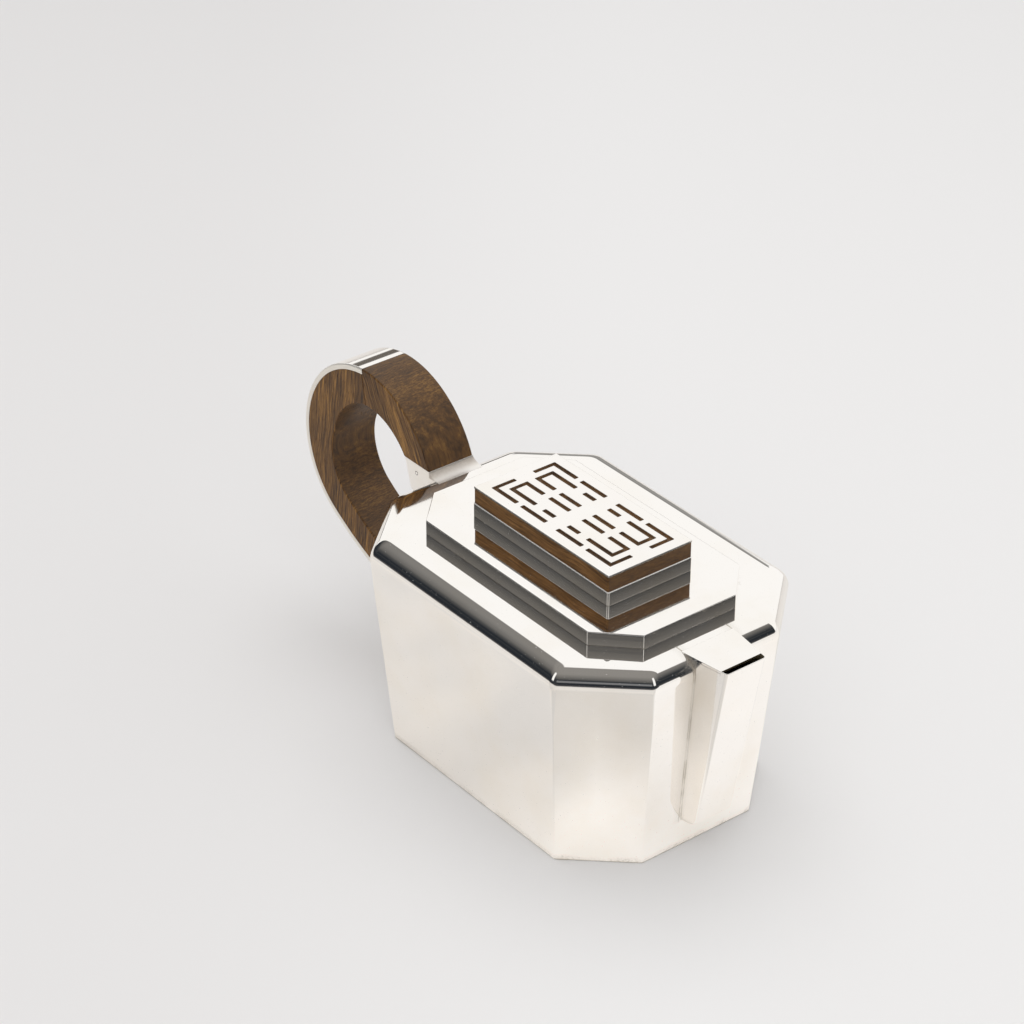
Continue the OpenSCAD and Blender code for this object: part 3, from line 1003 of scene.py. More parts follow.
@dataclass
class Body(SubAssembly):
    """The raised body: eight leaning walls, a round shoulder, a flat deck and the mouth under the lid."""

    length: float = 160.0
    width: float = 114.0
    height: float = 90.0
    end_lean: float = 8.5
    side_lean: float = 6.5
    corner_cut_x: float = 25.0
    corner_cut_y: float = 27.5
    corner_lean: float = 8.4
    shoulder: float = 8.0
    sheet: float = 1.0
    crease: float = 1.2
    shoulder_crease: float = 5.0
    mouth_length: float = 117.0
    mouth_width: float = 65.0
    mouth_cut: float = 14.5 - (2 - math.sqrt(2)) * 4.0
    mouth_shift: float = 1.6
    mouth_edge: float = 0.15
    shoulder_rows: int = 24
    levels: tuple[float, ...] = (0.4, 12.0, 30.0, 50.0, 66.0)

    @property
    def corner_angle(self) -> float:
        """Direction of a corner wall, in degrees from X."""
        return math.degrees(math.atan2(self.corner_cut_x, self.corner_cut_y))

    @property
    def angles(self) -> list[float]:
        """Directions of the eight walls."""
        c = self.corner_angle
        return [0.0, c, 90.0, 180.0 - c, 180.0, 180.0 + c, 270.0, 360.0 - c]

    @property
    def tops(self) -> Array:
        """Distances of the eight walls at the shoulder's widest.

        A corner wall passes through the point (length / 2 - cut, width / 2) of the side wall.

        Returns:
            The distances in mm, from +X anticlockwise.
        """
        a = math.radians(self.corner_angle)
        corner = math.cos(a) * (self.length / 2 - self.corner_cut_x) + math.sin(a) * self.width / 2
        return np.array([self.length / 2, corner, self.width / 2, corner] * 2)

    @property
    def feet(self) -> Array:
        """Distances of the eight walls at the foot."""
        return self.tops - np.array([self.end_lean, self.corner_lean, self.side_lean, self.corner_lean] * 2)

    def leans(self) -> Array:
        """How far each wall's tangent turns down, in radians.

        It is the line from the foot that touches a circle of the shoulder's radius, so the angle is
        asin(R / d) - atan(up / across) + 90 degrees, with d the distance from the foot to the centre.

        Returns:
            The angles, from +X anticlockwise.
        """
        across = self.tops - self.shoulder - self.feet
        up = self.height - self.shoulder
        return np.arcsin(self.shoulder / np.hypot(across, up)) - np.arctan2(up, across) + math.pi / 2

    def distances(self, height: float, inset: float) -> tuple[Array, Array]:
        """Distance and tilt of the eight walls at a height.

        A wall is the line from the foot that touches the shoulder's arc, of radius R about
        (top - R, height - R). Above the touching point the distance is top - R + sqrt(R^2 - dz^2).

        Args:
            height: Height in mm.
            inset: Thickness between this surface and the outer one.

        Returns:
            Distances in mm and tilts in degrees.
        """
        radius = self.shoulder - inset
        lean = self.leans()
        rise = height - (self.height - self.shoulder)
        middle = self.tops - self.shoulder
        touch = -radius * np.sin(lean)
        bent = middle + np.sqrt(max(radius**2 - rise**2, 0.0))
        straight = middle + radius * np.cos(lean) + (rise - touch) * np.tan(lean)
        on_arc = rise > touch
        tilt = np.where(on_arc, np.degrees(np.arcsin(np.clip(rise / radius, -1, 1))), -np.degrees(lean))
        return np.where(on_arc, bent, straight), tilt

    def side(self, inset: float, corner: float) -> list[Station]:
        """Stations from the foot to the deck.

        Args:
            inset: Thickness between this surface and the outer one.
            corner: Radius between the walls below the shoulder.

        Returns:
            The stations in order.
        """
        radius = self.shoulder - inset
        centre = self.height - self.shoulder
        arc = centre + radius * np.sin(np.radians(np.linspace(-8, 90, self.shoulder_rows)))
        crown = corner + self.shoulder_crease - self.crease
        out = []
        for level in (*self.levels, *arc):
            halves, tilt = self.distances(level, inset)
            soft = np.interp(level, [centre - 14, centre + 4], [corner, crown])
            out.append(Station(halves, level, tilt, float(soft), self.angles))
        return out

    def finishes(self) -> dict[str, Silver | Rosewood]:
        """The shell's own silver."""
        return {"body_shell": BodySilver()}

    def build(self) -> dict[str, bpy.types.Object]:
        """Makes the shell as one closed skin: outside, deck, mouth and inside.

        Returns:
            The shell under its node's name.
        """
        outside = self.side(0.0, self.crease)
        inside = self.side(self.sheet, 0.35)
        for station in inside:
            station.tilt = np.asarray(station.tilt) + 180.0
        mouth = octagon_halves(self.mouth_length, self.mouth_width, self.mouth_cut)
        shift = self.mouth_shift * np.cos(np.radians(OCTAGON))
        top, low = self.height, self.height - self.sheet
        edge = self.mouth_edge
        foot_out, _ = self.distances(0.0, edge)
        foot_in, _ = self.distances(0.0, self.sheet - edge)
        stations = [
            *outside,
            Station(mouth + shift + edge, top, 90.0, 0.4, OCTAGON),
            Station(mouth + shift, top - edge, 180.0, 0.3, OCTAGON),
            Station(mouth + shift, low + edge, 180.0, 0.3, OCTAGON),
            Station(mouth + shift + edge, low, 270.0, 0.4, OCTAGON),
            *inside[::-1],
            Station(foot_in, 0.0, 270.0, 0.3, self.angles),
            Station(foot_out, 0.0, 270.0, 0.4, self.angles),
        ]
        points, normals = skin_of(stations, self.angles, 7)
        skin = Skin()
        skin.grid(points, normals, wrap_rows=True)
        row = np.arange(len(stations))
        hidden = (row >= len(outside) + 2) & (row < len(stations) - 2)
        skin.tags.append(np.repeat(hidden.astype(float), points.shape[1]))
        return {"body_shell": skin.build("teapot_body")}


@dataclass
class Lid(SubAssembly):
    """The box lid, the finial's silver base, its rosewood block and the pierced plaque."""

    length: float = 125.0
    width: float = 73.0
    cut: float = 14.5
    shift: float = 1.6
    floor: float = 90.25
    seam: float = 0.07
    height: float = 5.6
    sheet: float = 1.0
    edge: float = 0.35
    finial_length: float = 80.0
    finial_width: float = 40.5
    base_height: float = 5.8
    block_height: float = 6.2
    plaque: float = 0.85
    slot: float = 1.8
    margin: float = 5.0
    reveal: float = 0.28
    lap: float = 0.25
    break_edge: float = 0.2
    pillow: float = 3.0

    @property
    def top(self) -> float:
        """Height of the lid's top."""
        return self.floor + self.height

    def cover(self) -> bpy.types.Object:
        """Makes the octagonal box lid as a closed shell that is open underneath.

        Returns:
            The lid.
        """
        out = octagon_halves(self.length, self.width, self.cut)
        rim = self.floor - self.lap + self.seam
        stations = [
            *self.hollow(out - self.sheet, rim, self.top - self.sheet, 0.3),
            *rounded_edge(out, rim, self.break_edge, 0.9, -90.0, 0.0, 3, self.pillow),
            *rounded_edge(out, self.top, self.edge, 0.9, 0.0, 90.0, 4, self.pillow),
            Station(out - 1.5, self.top, 90.0, 0.6),
        ]
        skin = Skin()
        skin.tube(*skin_of(stations, OCTAGON, 5, self.shift))
        return skin.build("teapot_lid")

    def hollow(self, inner: Array, low: float, under: float, corner: float) -> list[Station]:
        """Stations of a hollow that is open underneath, from its ceiling down to its rim.

        Args:
            inner: Distances of its sides.
            low: Height of the rim.
            under: Height of the ceiling.
            corner: Corner radius at the rim.

        Returns:
            The stations in order.
        """
        edge = self.break_edge
        return [
            Station(inner - edge, under, 270.0, 0.2),
            Station(inner, under - edge, 180.0, 0.2),
            Station(inner, low + edge, 180.0, 0.2),
            Station(inner + edge, low, 270.0, corner),
        ]

    def bar(
        self, name: str, low: float, high: float, edges: tuple[float, float], corner: float, hollow: bool
    ) -> bpy.types.Object:
        """Makes a rectangular bar with rounded edges, hollow from below if asked.

        Args:
            name: The piece's name.
            low: Height of its underside.
            high: Height of its top.
            edges: Radius of the lower and the upper edges.
            corner: Radius of the upright corners.
            hollow: Whether it is an open-bottomed shell.

        Returns:
            The new piece.
        """
        out = box_halves(self.finial_length, self.finial_width) - (0.0 if hollow else self.reveal)
        stations = self.hollow(out - self.sheet, low, high - self.sheet, 0.2) if hollow else []
        stations += [
            *rounded_edge(out, low, edges[0], corner, -90.0, 0.0, 3, self.pillow),
            *rounded_edge(out, high, edges[1], corner, 0.0, 90.0, 4, self.pillow),
            Station(out - 2.0, high, 90.0, 0.2),
        ]
        skin = Skin()
        skin.tube(*skin_of(stations, SQUARE, 5, self.shift))
        return skin.build(name)

    def slots(self) -> list[tuple[float, float, float, float]]:
        """Openings of the fretwork in one quarter of the plaque.

        Returns:
            The x, y, length and width of each in mm, to be mirrored over both axes.
        """
        s = self.slot
        x = self.finial_length / 2 - self.margin - s
        y = self.finial_width / 2 - self.margin - s
        step = 2.6 * s
        quarter = [
            (0.62 * x, y, 0.38 * x, 0), (x, 0.34 * y, 0, 0.66 * y), (0.1 * x, y, 0.38 * x, 0),
            (0.46 * x, y - step, 0.54 * x - step, 0), (x - step, s, 0, y - step - s),
            (0.72 * x - step, s, 0.28 * x, 0), (0.12 * x, 0.9 * s, 0.3 * x, 0),
            (0.12 * x, y - step, 0.14 * x, 0),
        ]
        return [(a, b, c + s, d + s) for a, b, c, d in quarter]

    def fretwork(self) -> bpy.types.Object:
        """Makes the pierced plaque.

        All slot edges cut the sheet into a lattice of cells. A cell is open where its middle lies in
        a slot or in a slot's mirror image, and a wall stands wherever an open and a solid cell meet.

        Returns:
            The plaque.
        """
        half = np.array([self.finial_length, self.finial_width]) / 2 - self.reveal
        boxes = np.array([(a, b, a + c, b + d) for a, b, c, d in self.slots()])
        lines = []
        for k in (0, 1):
            edges = np.concatenate([boxes[:, k], boxes[:, k + 2], half[k : k + 1]])
            lines.append(np.unique(np.round(np.concatenate([edges, -edges]), 5)))
        gx, gy = np.meshgrid(*(np.abs((line[1:] + line[:-1]) / 2) for line in lines), indexing="ij")
        x0, y0, x1, y1 = (boxes[:, k, None, None] for k in range(4))
        solid = ~((gx > x0) & (gx < x1) & (gy > y0) & (gy < y1)).any(0)
        low = self.top + self.base_height + self.block_height
        px, py = np.meshgrid(lines[0] + self.shift, lines[1], indexing="ij")
        sheet = [np.stack([px, py, np.full_like(px, z)], -1).reshape(-1, 3) for z in (low, low + self.plaque)]
        number = np.arange(px.size).reshape(px.shape)
        a, b, c, d = number[:-1, :-1], number[1:, :-1], number[1:, 1:], number[:-1, 1:]
        faces = [np.stack([a, b, c, d], -1)[solid] + px.size, np.stack([d, c, b, a], -1)[solid]]
        padded = np.pad(solid, 1)
        for first, second, beside in (
            (a, b, padded[1:-1, :-2]), (b, c, padded[2:, 1:-1]),
            (c, d, padded[1:-1, 2:]), (d, a, padded[:-2, 1:-1]),
        ):
            walls = np.stack([first, second, second + px.size, first + px.size], -1)
            faces.append(walls[solid & ~beside])
        keep, flat = np.unique(np.concatenate(faces), return_inverse=True)
        skin = Skin(points=[np.concatenate(sheet)[keep] * MM], faces=flat.reshape(-1, 4).tolist())
        piece = skin.build("finial_fretwork", shaded=False)
        bevel(piece, 0.16, 2, 30.0)
        return piece

    def finishes(self) -> dict[str, Silver | Rosewood]:
        """The finial's silver and its rosewood."""
        wood = Rosewood("rosewood block", (0.0, 90.0, 0.0), light=(0.27, 0.135, 0.045))
        return {"finial_base": FinialSilver(), "finial_block": wood}

    def build(self) -> dict[str, bpy.types.Object]:
        """Makes the four pieces.

        Returns:
            The pieces under their nodes' names.
        """
        seat = self.top
        block = seat + self.base_height
        crown = block + self.block_height
        return {
            "lid_cover": self.cover(),
            "finial_base": self.bar("finial_silver_base", seat, block, (0.25, 0.35), 0.9, True),
            "finial_block": self.bar("finial_rosewood", block, crown, (0.12, 0.2), 0.8, False),
            "finial_plaque": self.fretwork(),
        }


@dataclass(frozen=True)
class Line:
    """A line along the loop: its points, their headings in radians and their places counted in arcs."""

    places: Array
    headings: Array
    counts: Array

    def at(self, spots: Array) -> tuple[Array, Array]:
        """Points and outward directions at places along the line.

        Args:
            spots: The places, counted in arcs.

        Returns:
            Points and unit vectors to the right of the heading, k x 2.
        """
        point = np.stack([np.interp(spots, self.counts, self.places[:, k]) for k in (0, 1)], -1)
        heading = np.interp(spots, self.counts, self.headings)
        return point, np.stack([np.sin(heading), -np.cos(heading)], -1)

    def crossing(self, origin: Array, normal: Array, low: float, high: float) -> float:
        """Where the line passes a plane: the place at which (point - origin) . normal changes sign.

        Args:
            origin: A point of the plane.
            normal: The plane's normal.
            low: First place that is searched.
            high: Last place that is searched.

        Returns:
            The place of the crossing, counted in arcs.
        """
        inside = (self.counts >= low) & (self.counts <= high)
        side = ((self.places - origin) @ normal)[inside]
        spots = self.counts[inside]
        k = int(np.argmax(np.sign(side[1:]) != np.sign(side[:-1])))
        share = side[k] / (side[k] - side[k + 1])
        return float(spots[k] + share * (spots[k + 1] - spots[k]))


@dataclass
class Loop:
    """The handle's loop: tangent arcs that turn left, with a thickness that changes along them."""

    start: tuple[float, float] = (-78.7, 92.3)
    heading: float = 112.0
    arcs: tuple[tuple[float, float], ...] = ((43.0, 73.0), (44.0, 67.0), (40.0, 75.0), (140.0, 31.0))
    thickness: tuple[float, ...] = (14.2, 15.9, 19.9, 15.4, 12.5)
    tail: float = 4.0

    def line(self, depth: float, share: float, steps: int = 60) -> Line:
        """A line along the loop.

        On an arc of radius R that starts at p with the heading h, a point after the angle a is
        p + R (sin(h + a) - sin h, cos h - cos(h + a)), moved inwards by depth + share * thickness.

        Args:
            depth: Constant depth below the outer line.
            share: Share of the thickness that is added to it.
            steps: Points on each arc.

        Returns:
            The line, with a straight tail at its end.
        """
        point = np.array(self.start)
        heading = math.radians(self.heading)
        places, headings, counts = [], [], []
        for k, (radius, sweep) in enumerate(self.arcs):
            part = np.linspace(0, 1, steps + 1)[(1 if k else 0):]
            turned = heading + math.radians(sweep) * part
            middle = point + radius * np.array([-math.sin(heading), math.cos(heading)])
            inward = np.stack([-np.sin(turned), np.cos(turned)], -1)
            thick = self.thickness[k] + (self.thickness[k + 1] - self.thickness[k]) * part
            places.append(middle - inward * radius + inward * (depth + share * thick)[:, None])
            headings.append(turned)
            counts.append(k + part)
            heading += math.radians(sweep)
            point = middle - radius * np.array([-math.sin(heading), math.cos(heading)])
        places.append(places[-1][-1:] + self.tail * bearing(np.array(heading)))
        headings.append(headings[-1][-1:])
        counts.append(counts[-1][-1:] + 0.1)
        return Line(np.concatenate(places), np.concatenate(headings), np.concatenate(counts))


@dataclass
class Handle(SubAssembly):
    """The rosewood loop in two pieces and the silver strap along its back."""

    loop: Loop = field(default_factory=Loop)
    width: float = 21.6
    strap: float = 2.4
    skin_depth: float = 0.005
    joint_lean: float = 4.0
    rows: int = 90
    gap: float = 0.04
    edge: float = 0.7
    strap_bed: float = 0.25
    strap_inner: float = 0.15
    last: float = 4.0

    def rounded_end(self, ring: Array, normal: Array, ahead: Array, radius: float) -> tuple[Array, Array]:
        """Rows that draw a bar's end in along a quarter circle.

        After the angle t a row is ring - normal * R (1 - cos t) - ahead * R (1 - sin t), and its
        normals are normal * cos t + ahead * sin t.

        Args:
            ring: The bar's last section.
            normal: Its normals.
            ahead: Direction out of the end.
            radius: Radius R of the rounding.

        Returns:
            Points and normals from t = 0 to the tip.
        """
        t = np.linspace(0, np.pi / 2, 5)[:, None, None]
        points = ring - normal * radius * (1 - np.cos(t)) - ahead * radius * (1 - np.sin(t))
        return points, normal * np.cos(t) + ahead * np.sin(t)

    def band(
        self, name: str, outer: tuple[Array, Array], inner: tuple[Array, Array],
        rounding: tuple[float, float], ends: tuple[float, float],
    ) -> bpy.types.Object:
        """A bar between two lines, with its four long edges rounded.

        At each row the section is a rectangle that spans from the inner to the outer point and over
        the width. A quarter circle of its own radius replaces each corner, and the rows next to an
        end draw in along a quarter circle, so the ends are rounded as well.

        Args:
            name: The piece's name.
            outer: Points and outward directions of the outer line.
            inner: The same for the inner line, with the outward directions of the loop.
            rounding: Radius of the outer and of the inner edges.
            ends: Rounding of the first and the last end.

        Returns:
            The new piece.
        """
        (top, top_out), (low, low_out) = outer, inner
        depth = np.linalg.norm(top - low, axis=1)[:, None]
        out = (top - low) / depth
        arc = np.linspace(0, np.pi / 2, 6)
        across, level, normal = [], [], []
        every = np.zeros_like(depth)
        for side, upper in ((1, True), (-1, True), (-1, False), (1, False)):
            radius = rounding[0] if upper else rounding[1]
            turn = arc if (side > 0) == upper else arc[::-1]
            across.append(side * (self.width / 2 - radius + radius * np.cos(turn)) + every)
            sunk = radius * (1 - np.sin(turn))
            level.append(depth - sunk if upper else sunk + every)
            face = (top_out if upper else -low_out)[:, None, :] * np.sin(turn)[:, None]
            normal.append(np.stack([face[..., 0], side * np.cos(turn) + every, face[..., 1]], -1))
        flat = low[:, None, :] + out[:, None, :] * np.concatenate(level, 1)[..., None]
        points = np.stack([flat[..., 0], np.concatenate(across, 1), flat[..., 1]], -1)
        normal = np.concatenate(normal, 1)
        path = np.gradient(top, axis=0)
        path /= np.linalg.norm(path, axis=1, keepdims=True)
        ahead = np.insert(path, 1, 0.0, axis=1)
        first, first_normal = self.rounded_end(points[0], normal[0], -ahead[0], ends[0])
        tip, tip_normal = self.rounded_end(points[-1], normal[-1], ahead[-1], ends[1])
        skin = Skin()
        skin.tube(
            np.concatenate([first[::-1], points[1:-1], tip]) * MM,
            np.concatenate([first_normal[::-1], normal[1:-1], tip_normal]), flip=True,
        )
        return skin.build(name)

    def finishes(self) -> dict[str, Silver | Rosewood]:
        """Each piece's own wood, whose grain follows it, and the strap's silver.

        Returns:
            The finishes by node.
        """
        return {
            "handle_front": Rosewood("rosewood front arm", (0.0, 28.0, 0.0)),
            "handle_rear": Rosewood("rosewood rear loop", (0.0, -6.0, 0.0)),
            "handle_strap": StrapSilver(),
        }

    def build(self) -> dict[str, bpy.types.Object]:
        """Makes the front arm, the rear piece and the strap.

        The arm ends on the joint's plane, the rear piece and the strap start behind it, and the
        arm's inner line starts at the height of the deck socket's mouth.

        Returns:
            The pieces under their nodes' names.
        """
        out = self.loop.line(self.skin_depth, 0.0)
        wood = self.loop.line(self.strap, 0.0)
        inner = self.loop.line(0.0, 1.0)
        joint = out.at(np.array(1.0))[0]
        lean = float(np.interp(1.0, out.counts, out.headings)) + math.radians(self.joint_lean)
        ahead = bearing(np.array(lean))
        mouth = inner.crossing(np.array(self.loop.start) - (0.0, 1e-6), np.array([0.0, 1.0]), 0.0, 0.5)

        def even(line: Line, first: float, last: float) -> tuple[Array, Array]:
            """Points and outward directions at even places of a line."""
            return line.at(np.linspace(first, last, self.rows))

        def before(line: Line) -> float:
            """Where a line ends in front of the joint."""
            return line.crossing(joint - ahead * self.gap, ahead, 0.5, 1.5)

        def behind(line: Line) -> float:
            """Where a line starts behind the joint."""
            return line.crossing(joint + ahead * self.gap, ahead, 0.5, 1.5)

        bed = even(wood, behind(wood), self.last)
        return {
            "handle_front": self.band(
                "handle_front_arm", even(out, 0.0, before(out)), even(inner, mouth, before(inner)),
                (self.edge, self.edge), (0.15, 0.35),
            ),
            "handle_rear": self.band(
                "handle_rear_loop", bed, even(inner, behind(inner), self.last),
                (self.strap_bed, self.edge), (0.35, 0.2),
            ),
            "handle_strap": self.band(
                "handle_silver_strap", even(out, behind(out), self.last), bed,
                (self.edge, self.strap_inner), (0.35, 0.2),
            ),
        }


@dataclass
class Spout(SubAssembly):
    """The box channel in front of the body, its cover plate and the pouring slot."""

    body: Body = field(default_factory=Body)
    reach: float = 15.1
    foot_reach: float = 9.5
    foot: float = 13.0
    front_width: float = 18.6
    foot_width: float = 16.8
    flare: float = 0.143
    sheet: float = 0.9
    foot_round: float = 0.8
    foot_sweep: float = 4.2
    slot: float = 2.2
    corner: float = 1.7
    lip: float = 0.42
    solder: float = 0.3
    hidden_solder: float = 0.05
    slot_step: float = 0.01
    cover_start: float = 73.5
    cover: float = 1.0
    edge: float = 0.12
    wall_lap: float = 0.4
    levels: tuple[float, ...] = (24.0, 36.0, 50.0, 66.0)

    def front(self, z: float) -> float:
        """How far out the front stands: a straight line from the foot to the deck.

        Args:
            z: Height.

        Returns:
            The distance along X.
        """
        share = (z - self.foot) / (self.body.height - self.foot)
        low = self.body.length / 2 - self.body.end_lean + self.foot_reach
        return low + (self.body.length / 2 + self.reach - low) * share

    def half(self, z: float) -> float:
        """Half the width of the front at a height."""
        share = (z - self.foot) / (self.body.height - self.foot)
        return (self.foot_width + (self.front_width - self.foot_width) * share) / 2

    def ring(
        self, z: float, inset: float, corner: float, back: float,
        top: Optional[float] = None, pull: float = 0.0,
    ) -> tuple[Array, Array]:
        """One level of the channel, anticlockwise from above.

        The front is a line at x = front(z) - inset, and each side runs back from it and flares by
        y = half + flare * (front - x) until it meets the wall. An arc joins the front and each side.

        Args:
            z: Height.
            inset: Thickness between this surface and the outer one.
            corner: Radius between front and sides.
            back: Distance between the back line and the wall.
            top: Height of the points behind the pouring slot, if it differs.
            pull: How far the front stands back while the sides stay.

        Returns:
            Points and outward normals.
        """
        front = self.front(z) - inset - pull
        slope = math.atan(self.flare)
        half = self.half(z) - inset / math.cos(slope) + self.flare * (inset + pull)
        wall = float(self.body.distances(min(z, self.body.height - 0.02), 0.0)[0][0]) + back
        solder = self.hidden_solder if back > 0 else self.solder
        lip = front - (self.sheet - inset) - self.slot

        def side(x: float) -> float:
            """Half the width at a distance along X."""
            return half + self.flare * (front - x)

        swing = math.pi / 2 - slope
        bow = bearing(np.linspace(0, swing, 7))
        turns = np.linspace(swing, 0.0, 5)
        bow_hub = np.array([front - corner, half - corner * math.tan(swing / 2)])
        weld_hub = np.array([wall + solder, side(wall) + solder * (1 - math.sin(slope)) / math.cos(slope)])
        edge = np.array([[x, side(lip)] for x in (lip + self.slot_step, lip - self.slot_step)])
        right = np.concatenate([bow_hub + corner * bow, edge, weld_hub - solder * bearing(turns)])
        face = np.concatenate([bow, bearing(np.full(2, swing)), bearing(swing + (turns - swing) * 0.3)])
        over = np.array([1.0, -1.0])
        flat = np.concatenate([right, right[::-1] * over])
        normal = np.concatenate([face, face[::-1] * over])
        height = np.full(len(flat), float(z))
        if top is not None:
            height[len(bow) + 1 : -len(bow) - 1] = top
        return np.column_stack([flat, height]), np.column_stack([normal, np.zeros(len(flat))])

    def channel(self) -> bpy.types.Object:
        """Makes the channel as a cup that hugs the front wall, with a stepped rim round the slot.

        Up to the angle a on the rounded foot, a row stands at foot + sweep * (1 - cos a) and lies
        round * (1 - sin a) further in. The rows then climb to the rim and come down inside.

        Returns:
            The channel.
        """
        deck, edge = self.body.height, self.edge
        up = np.array([0.0, 0.0, 1.0])
        rows: list[tuple[Array, Array]] = []
        for a in np.radians([0, 15, 30, 45, 60, 75, 90]):
            level = self.foot + self.foot_sweep * (1 - math.cos(a))
            drawn = 1 - math.sin(a)
            points, normals = self.ring(
                level, self.foot_round * drawn, self.corner, 0.0, None, self.foot_sweep * drawn
            )
            facing = np.clip(normals[:, :1], 0.0, 1.0) ** 2
            ahead = min(math.pi / 2, a + math.radians(60 * (a > 0)))
            sunk = math.cos(a) * facing + math.cos(ahead) * (1 - facing)
            rows.append((points, normals * np.sqrt(1 - sunk**2) - up * sunk))
        for level in (*self.levels, *np.linspace(74, deck - self.sheet - 0.15, 10)[:-1]):
            rows.append(self.ring(level, 0.0, self.corner, 0.0))
        behind = deck - self.cover
        rows.append(self.ring(deck - edge, 0.0, self.corner, 0.0, behind - edge))
        for inset, corner, back in ((edge, self.corner, 0.0), (self.lip - edge, 1.1, self.wall_lap)):
            rim, _ = self.ring(deck, inset, corner, back, behind)
            rows.append((rim, np.broadcast_to(up, rim.shape)))
        for level, low, inset in (
            (deck - edge, behind - edge, self.lip), (deck - 1.3, deck - 1.4, self.sheet),
            (66.0, None, self.sheet), (self.foot + self.foot_sweep, None, self.sheet),
        ):
            points, normals = self.ring(level, inset, 0.7, self.wall_lap, low)
            rows.append((points, -normals))
        points, _ = self.ring(self.foot + self.sheet + 0.6, self.sheet + 1.6, 0.7, self.wall_lap, None, 2.5)
        rows.append((points, np.broadcast_to(up, points.shape)))
        skin = Skin()
        hidden = np.arange(len(rows)) >= len(rows) - 5
        skin.tags.append(np.repeat(hidden.astype(float), len(points)))
        skin.tube(np.array([r[0] for r in rows]) * MM, np.array([r[1] for r in rows]))
        return skin.build("spout_box")

    def plate(self) -> bpy.types.Object:
        """Makes the flat plate that closes the channel behind the slot.

        Returns:
            The plate.
        """
        deck = self.body.height
        front = self.front(deck)
        ends = np.array([self.cover_start, front - self.sheet - self.slot])
        half = self.half(deck) + self.flare * (front - ends)
        outline = np.stack([np.concatenate([ends, ends[::-1]]), np.concatenate([-half, half[::-1]])], -1)
        piece = prism(outline, deck - self.cover, deck, Way.UP).build("spout_plate", shaded=False)
        bevel(piece, 0.1, 2)
        return piece

    def finishes(self) -> dict[str, Silver | Rosewood]:
        """The channel's own silver."""
        return {"spout_channel": SpoutSilver()}

    def build(self) -> dict[str, bpy.types.Object]:
        """Makes the channel and the plate."""
        return {"spout_channel": self.channel(), "spout_cover": self.plate()}


@dataclass
class DeckSocket(SubAssembly):
    """The silver socket on the deck that carries the front arm."""

    body: Body = field(default_factory=Body)
    handle: Handle = field(default_factory=Handle)
    length: float = 15.5
    rise: float = 2.3
    batter: float = 0.3
    knee: float = 12.0
    drop: float = 24.0
    inset: float = 0.02
    seat: float = 0.05
    toe_swing: float = 81.0

    def finishes(self) -> dict[str, Silver | Rosewood]:
        """The socket's satin silver."""
        return {"upper_socket": SocketSilver()}

    def build(self) -> dict[str, bpy.types.Object]:
        """Makes the socket.

        Its outline has a concave toe, a part of an ellipse, that rises from the deck, a flat mouth,
        a back that leans in to a knee, and a straight underside to the wall. It closes along the
        shoulder that it sits on.

        Returns:
            The new piece under its node's name.
        """
        deck, shoulder = self.body.height, self.body.shoulder
        toe = shoulder - self.body.length / 2
        mouth_x, mouth_z = self.handle.loop.start
        sweep = math.radians(self.toe_swing)
        swing = np.linspace(0.02, sweep, 16)
        run = (toe - mouth_x) / math.sin(sweep)
        lift = self.rise / (1 - math.cos(sweep))
        concave = np.stack([toe - run * np.sin(swing), deck + lift * (1 - np.cos(swing))], -1)
        back, foot = mouth_x - self.length, mouth_z - self.drop
        wall, middle = (-float(self.body.distances(foot + up, 0.0)[0][4]) for up in (0.3, 8.0))
        seat = self.seat
        corners = [
            (back, mouth_z), (back + self.batter * self.knee, mouth_z - self.knee),
            (wall - 0.4, foot + 0.2), (wall + seat, foot + 0.3), (middle + seat, foot + 8.0),
        ]
        arc = bearing(np.radians([178, 165, 150, 135, 120, 105, 96]))
        bed = np.array([toe, deck - shoulder]) + (shoulder - seat) * arc
        half = self.handle.width / 2 - self.inset
        skin = prism(np.concatenate([concave, corners, bed]), -half, half, Way.ACROSS)
        piece = skin.build("handle_socket_upper", shaded=False)
        bevel(piece, 0.3, 3, 28.0)
        return {"upper_socket": piece}


@dataclass(frozen=True)
class Fittings:
    """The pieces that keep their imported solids: hinge, pins, screws, dowels, collar, flange and base."""

    brass: Silver = Silver("brass", bright=(0.72, 0.56, 0.28), film=(0.5, 0.36, 0.16), roughness=0.25)
    hardwood: Rosewood = Rosewood("hardwood dowel", middle=(0.3, 0.19, 0.1), light=(0.42, 0.28, 0.16))
    worn: Silver = Silver("worn silver", roughness=0.22, haze=0.15, bright=(0.9, 0.87, 0.82))

    def finishes(self) -> dict[str, Silver | Rosewood]:
        """Finishes by node, where they aren't plain polished silver.

        Returns:
            The finishes.
        """
        return {
            "handle_dowels": self.hardwood, "finial_screws": self.brass, "lid_flange": self.worn,
            "lid_collar": self.worn, "base_plate": self.worn, "upper_socket_pin": PinSilver(),
            "lower_socket_pin": PinSilver(),
        }

    def dress(self, done: set[str]) -> None:
        """Gives every other node its finish, through its material slots.

        Args:
            done: The nodes that have a skin.
        """
        finishes = self.finishes()
        for node, piece in frame["nodes"].items():
            if node not in done:
                for slot in piece.material_slots:
                    slot.material = finishes.get(node, Silver()).make()
                log.info("%s keeps its own solid", node)


# ---------------------------------------------------------------- studio


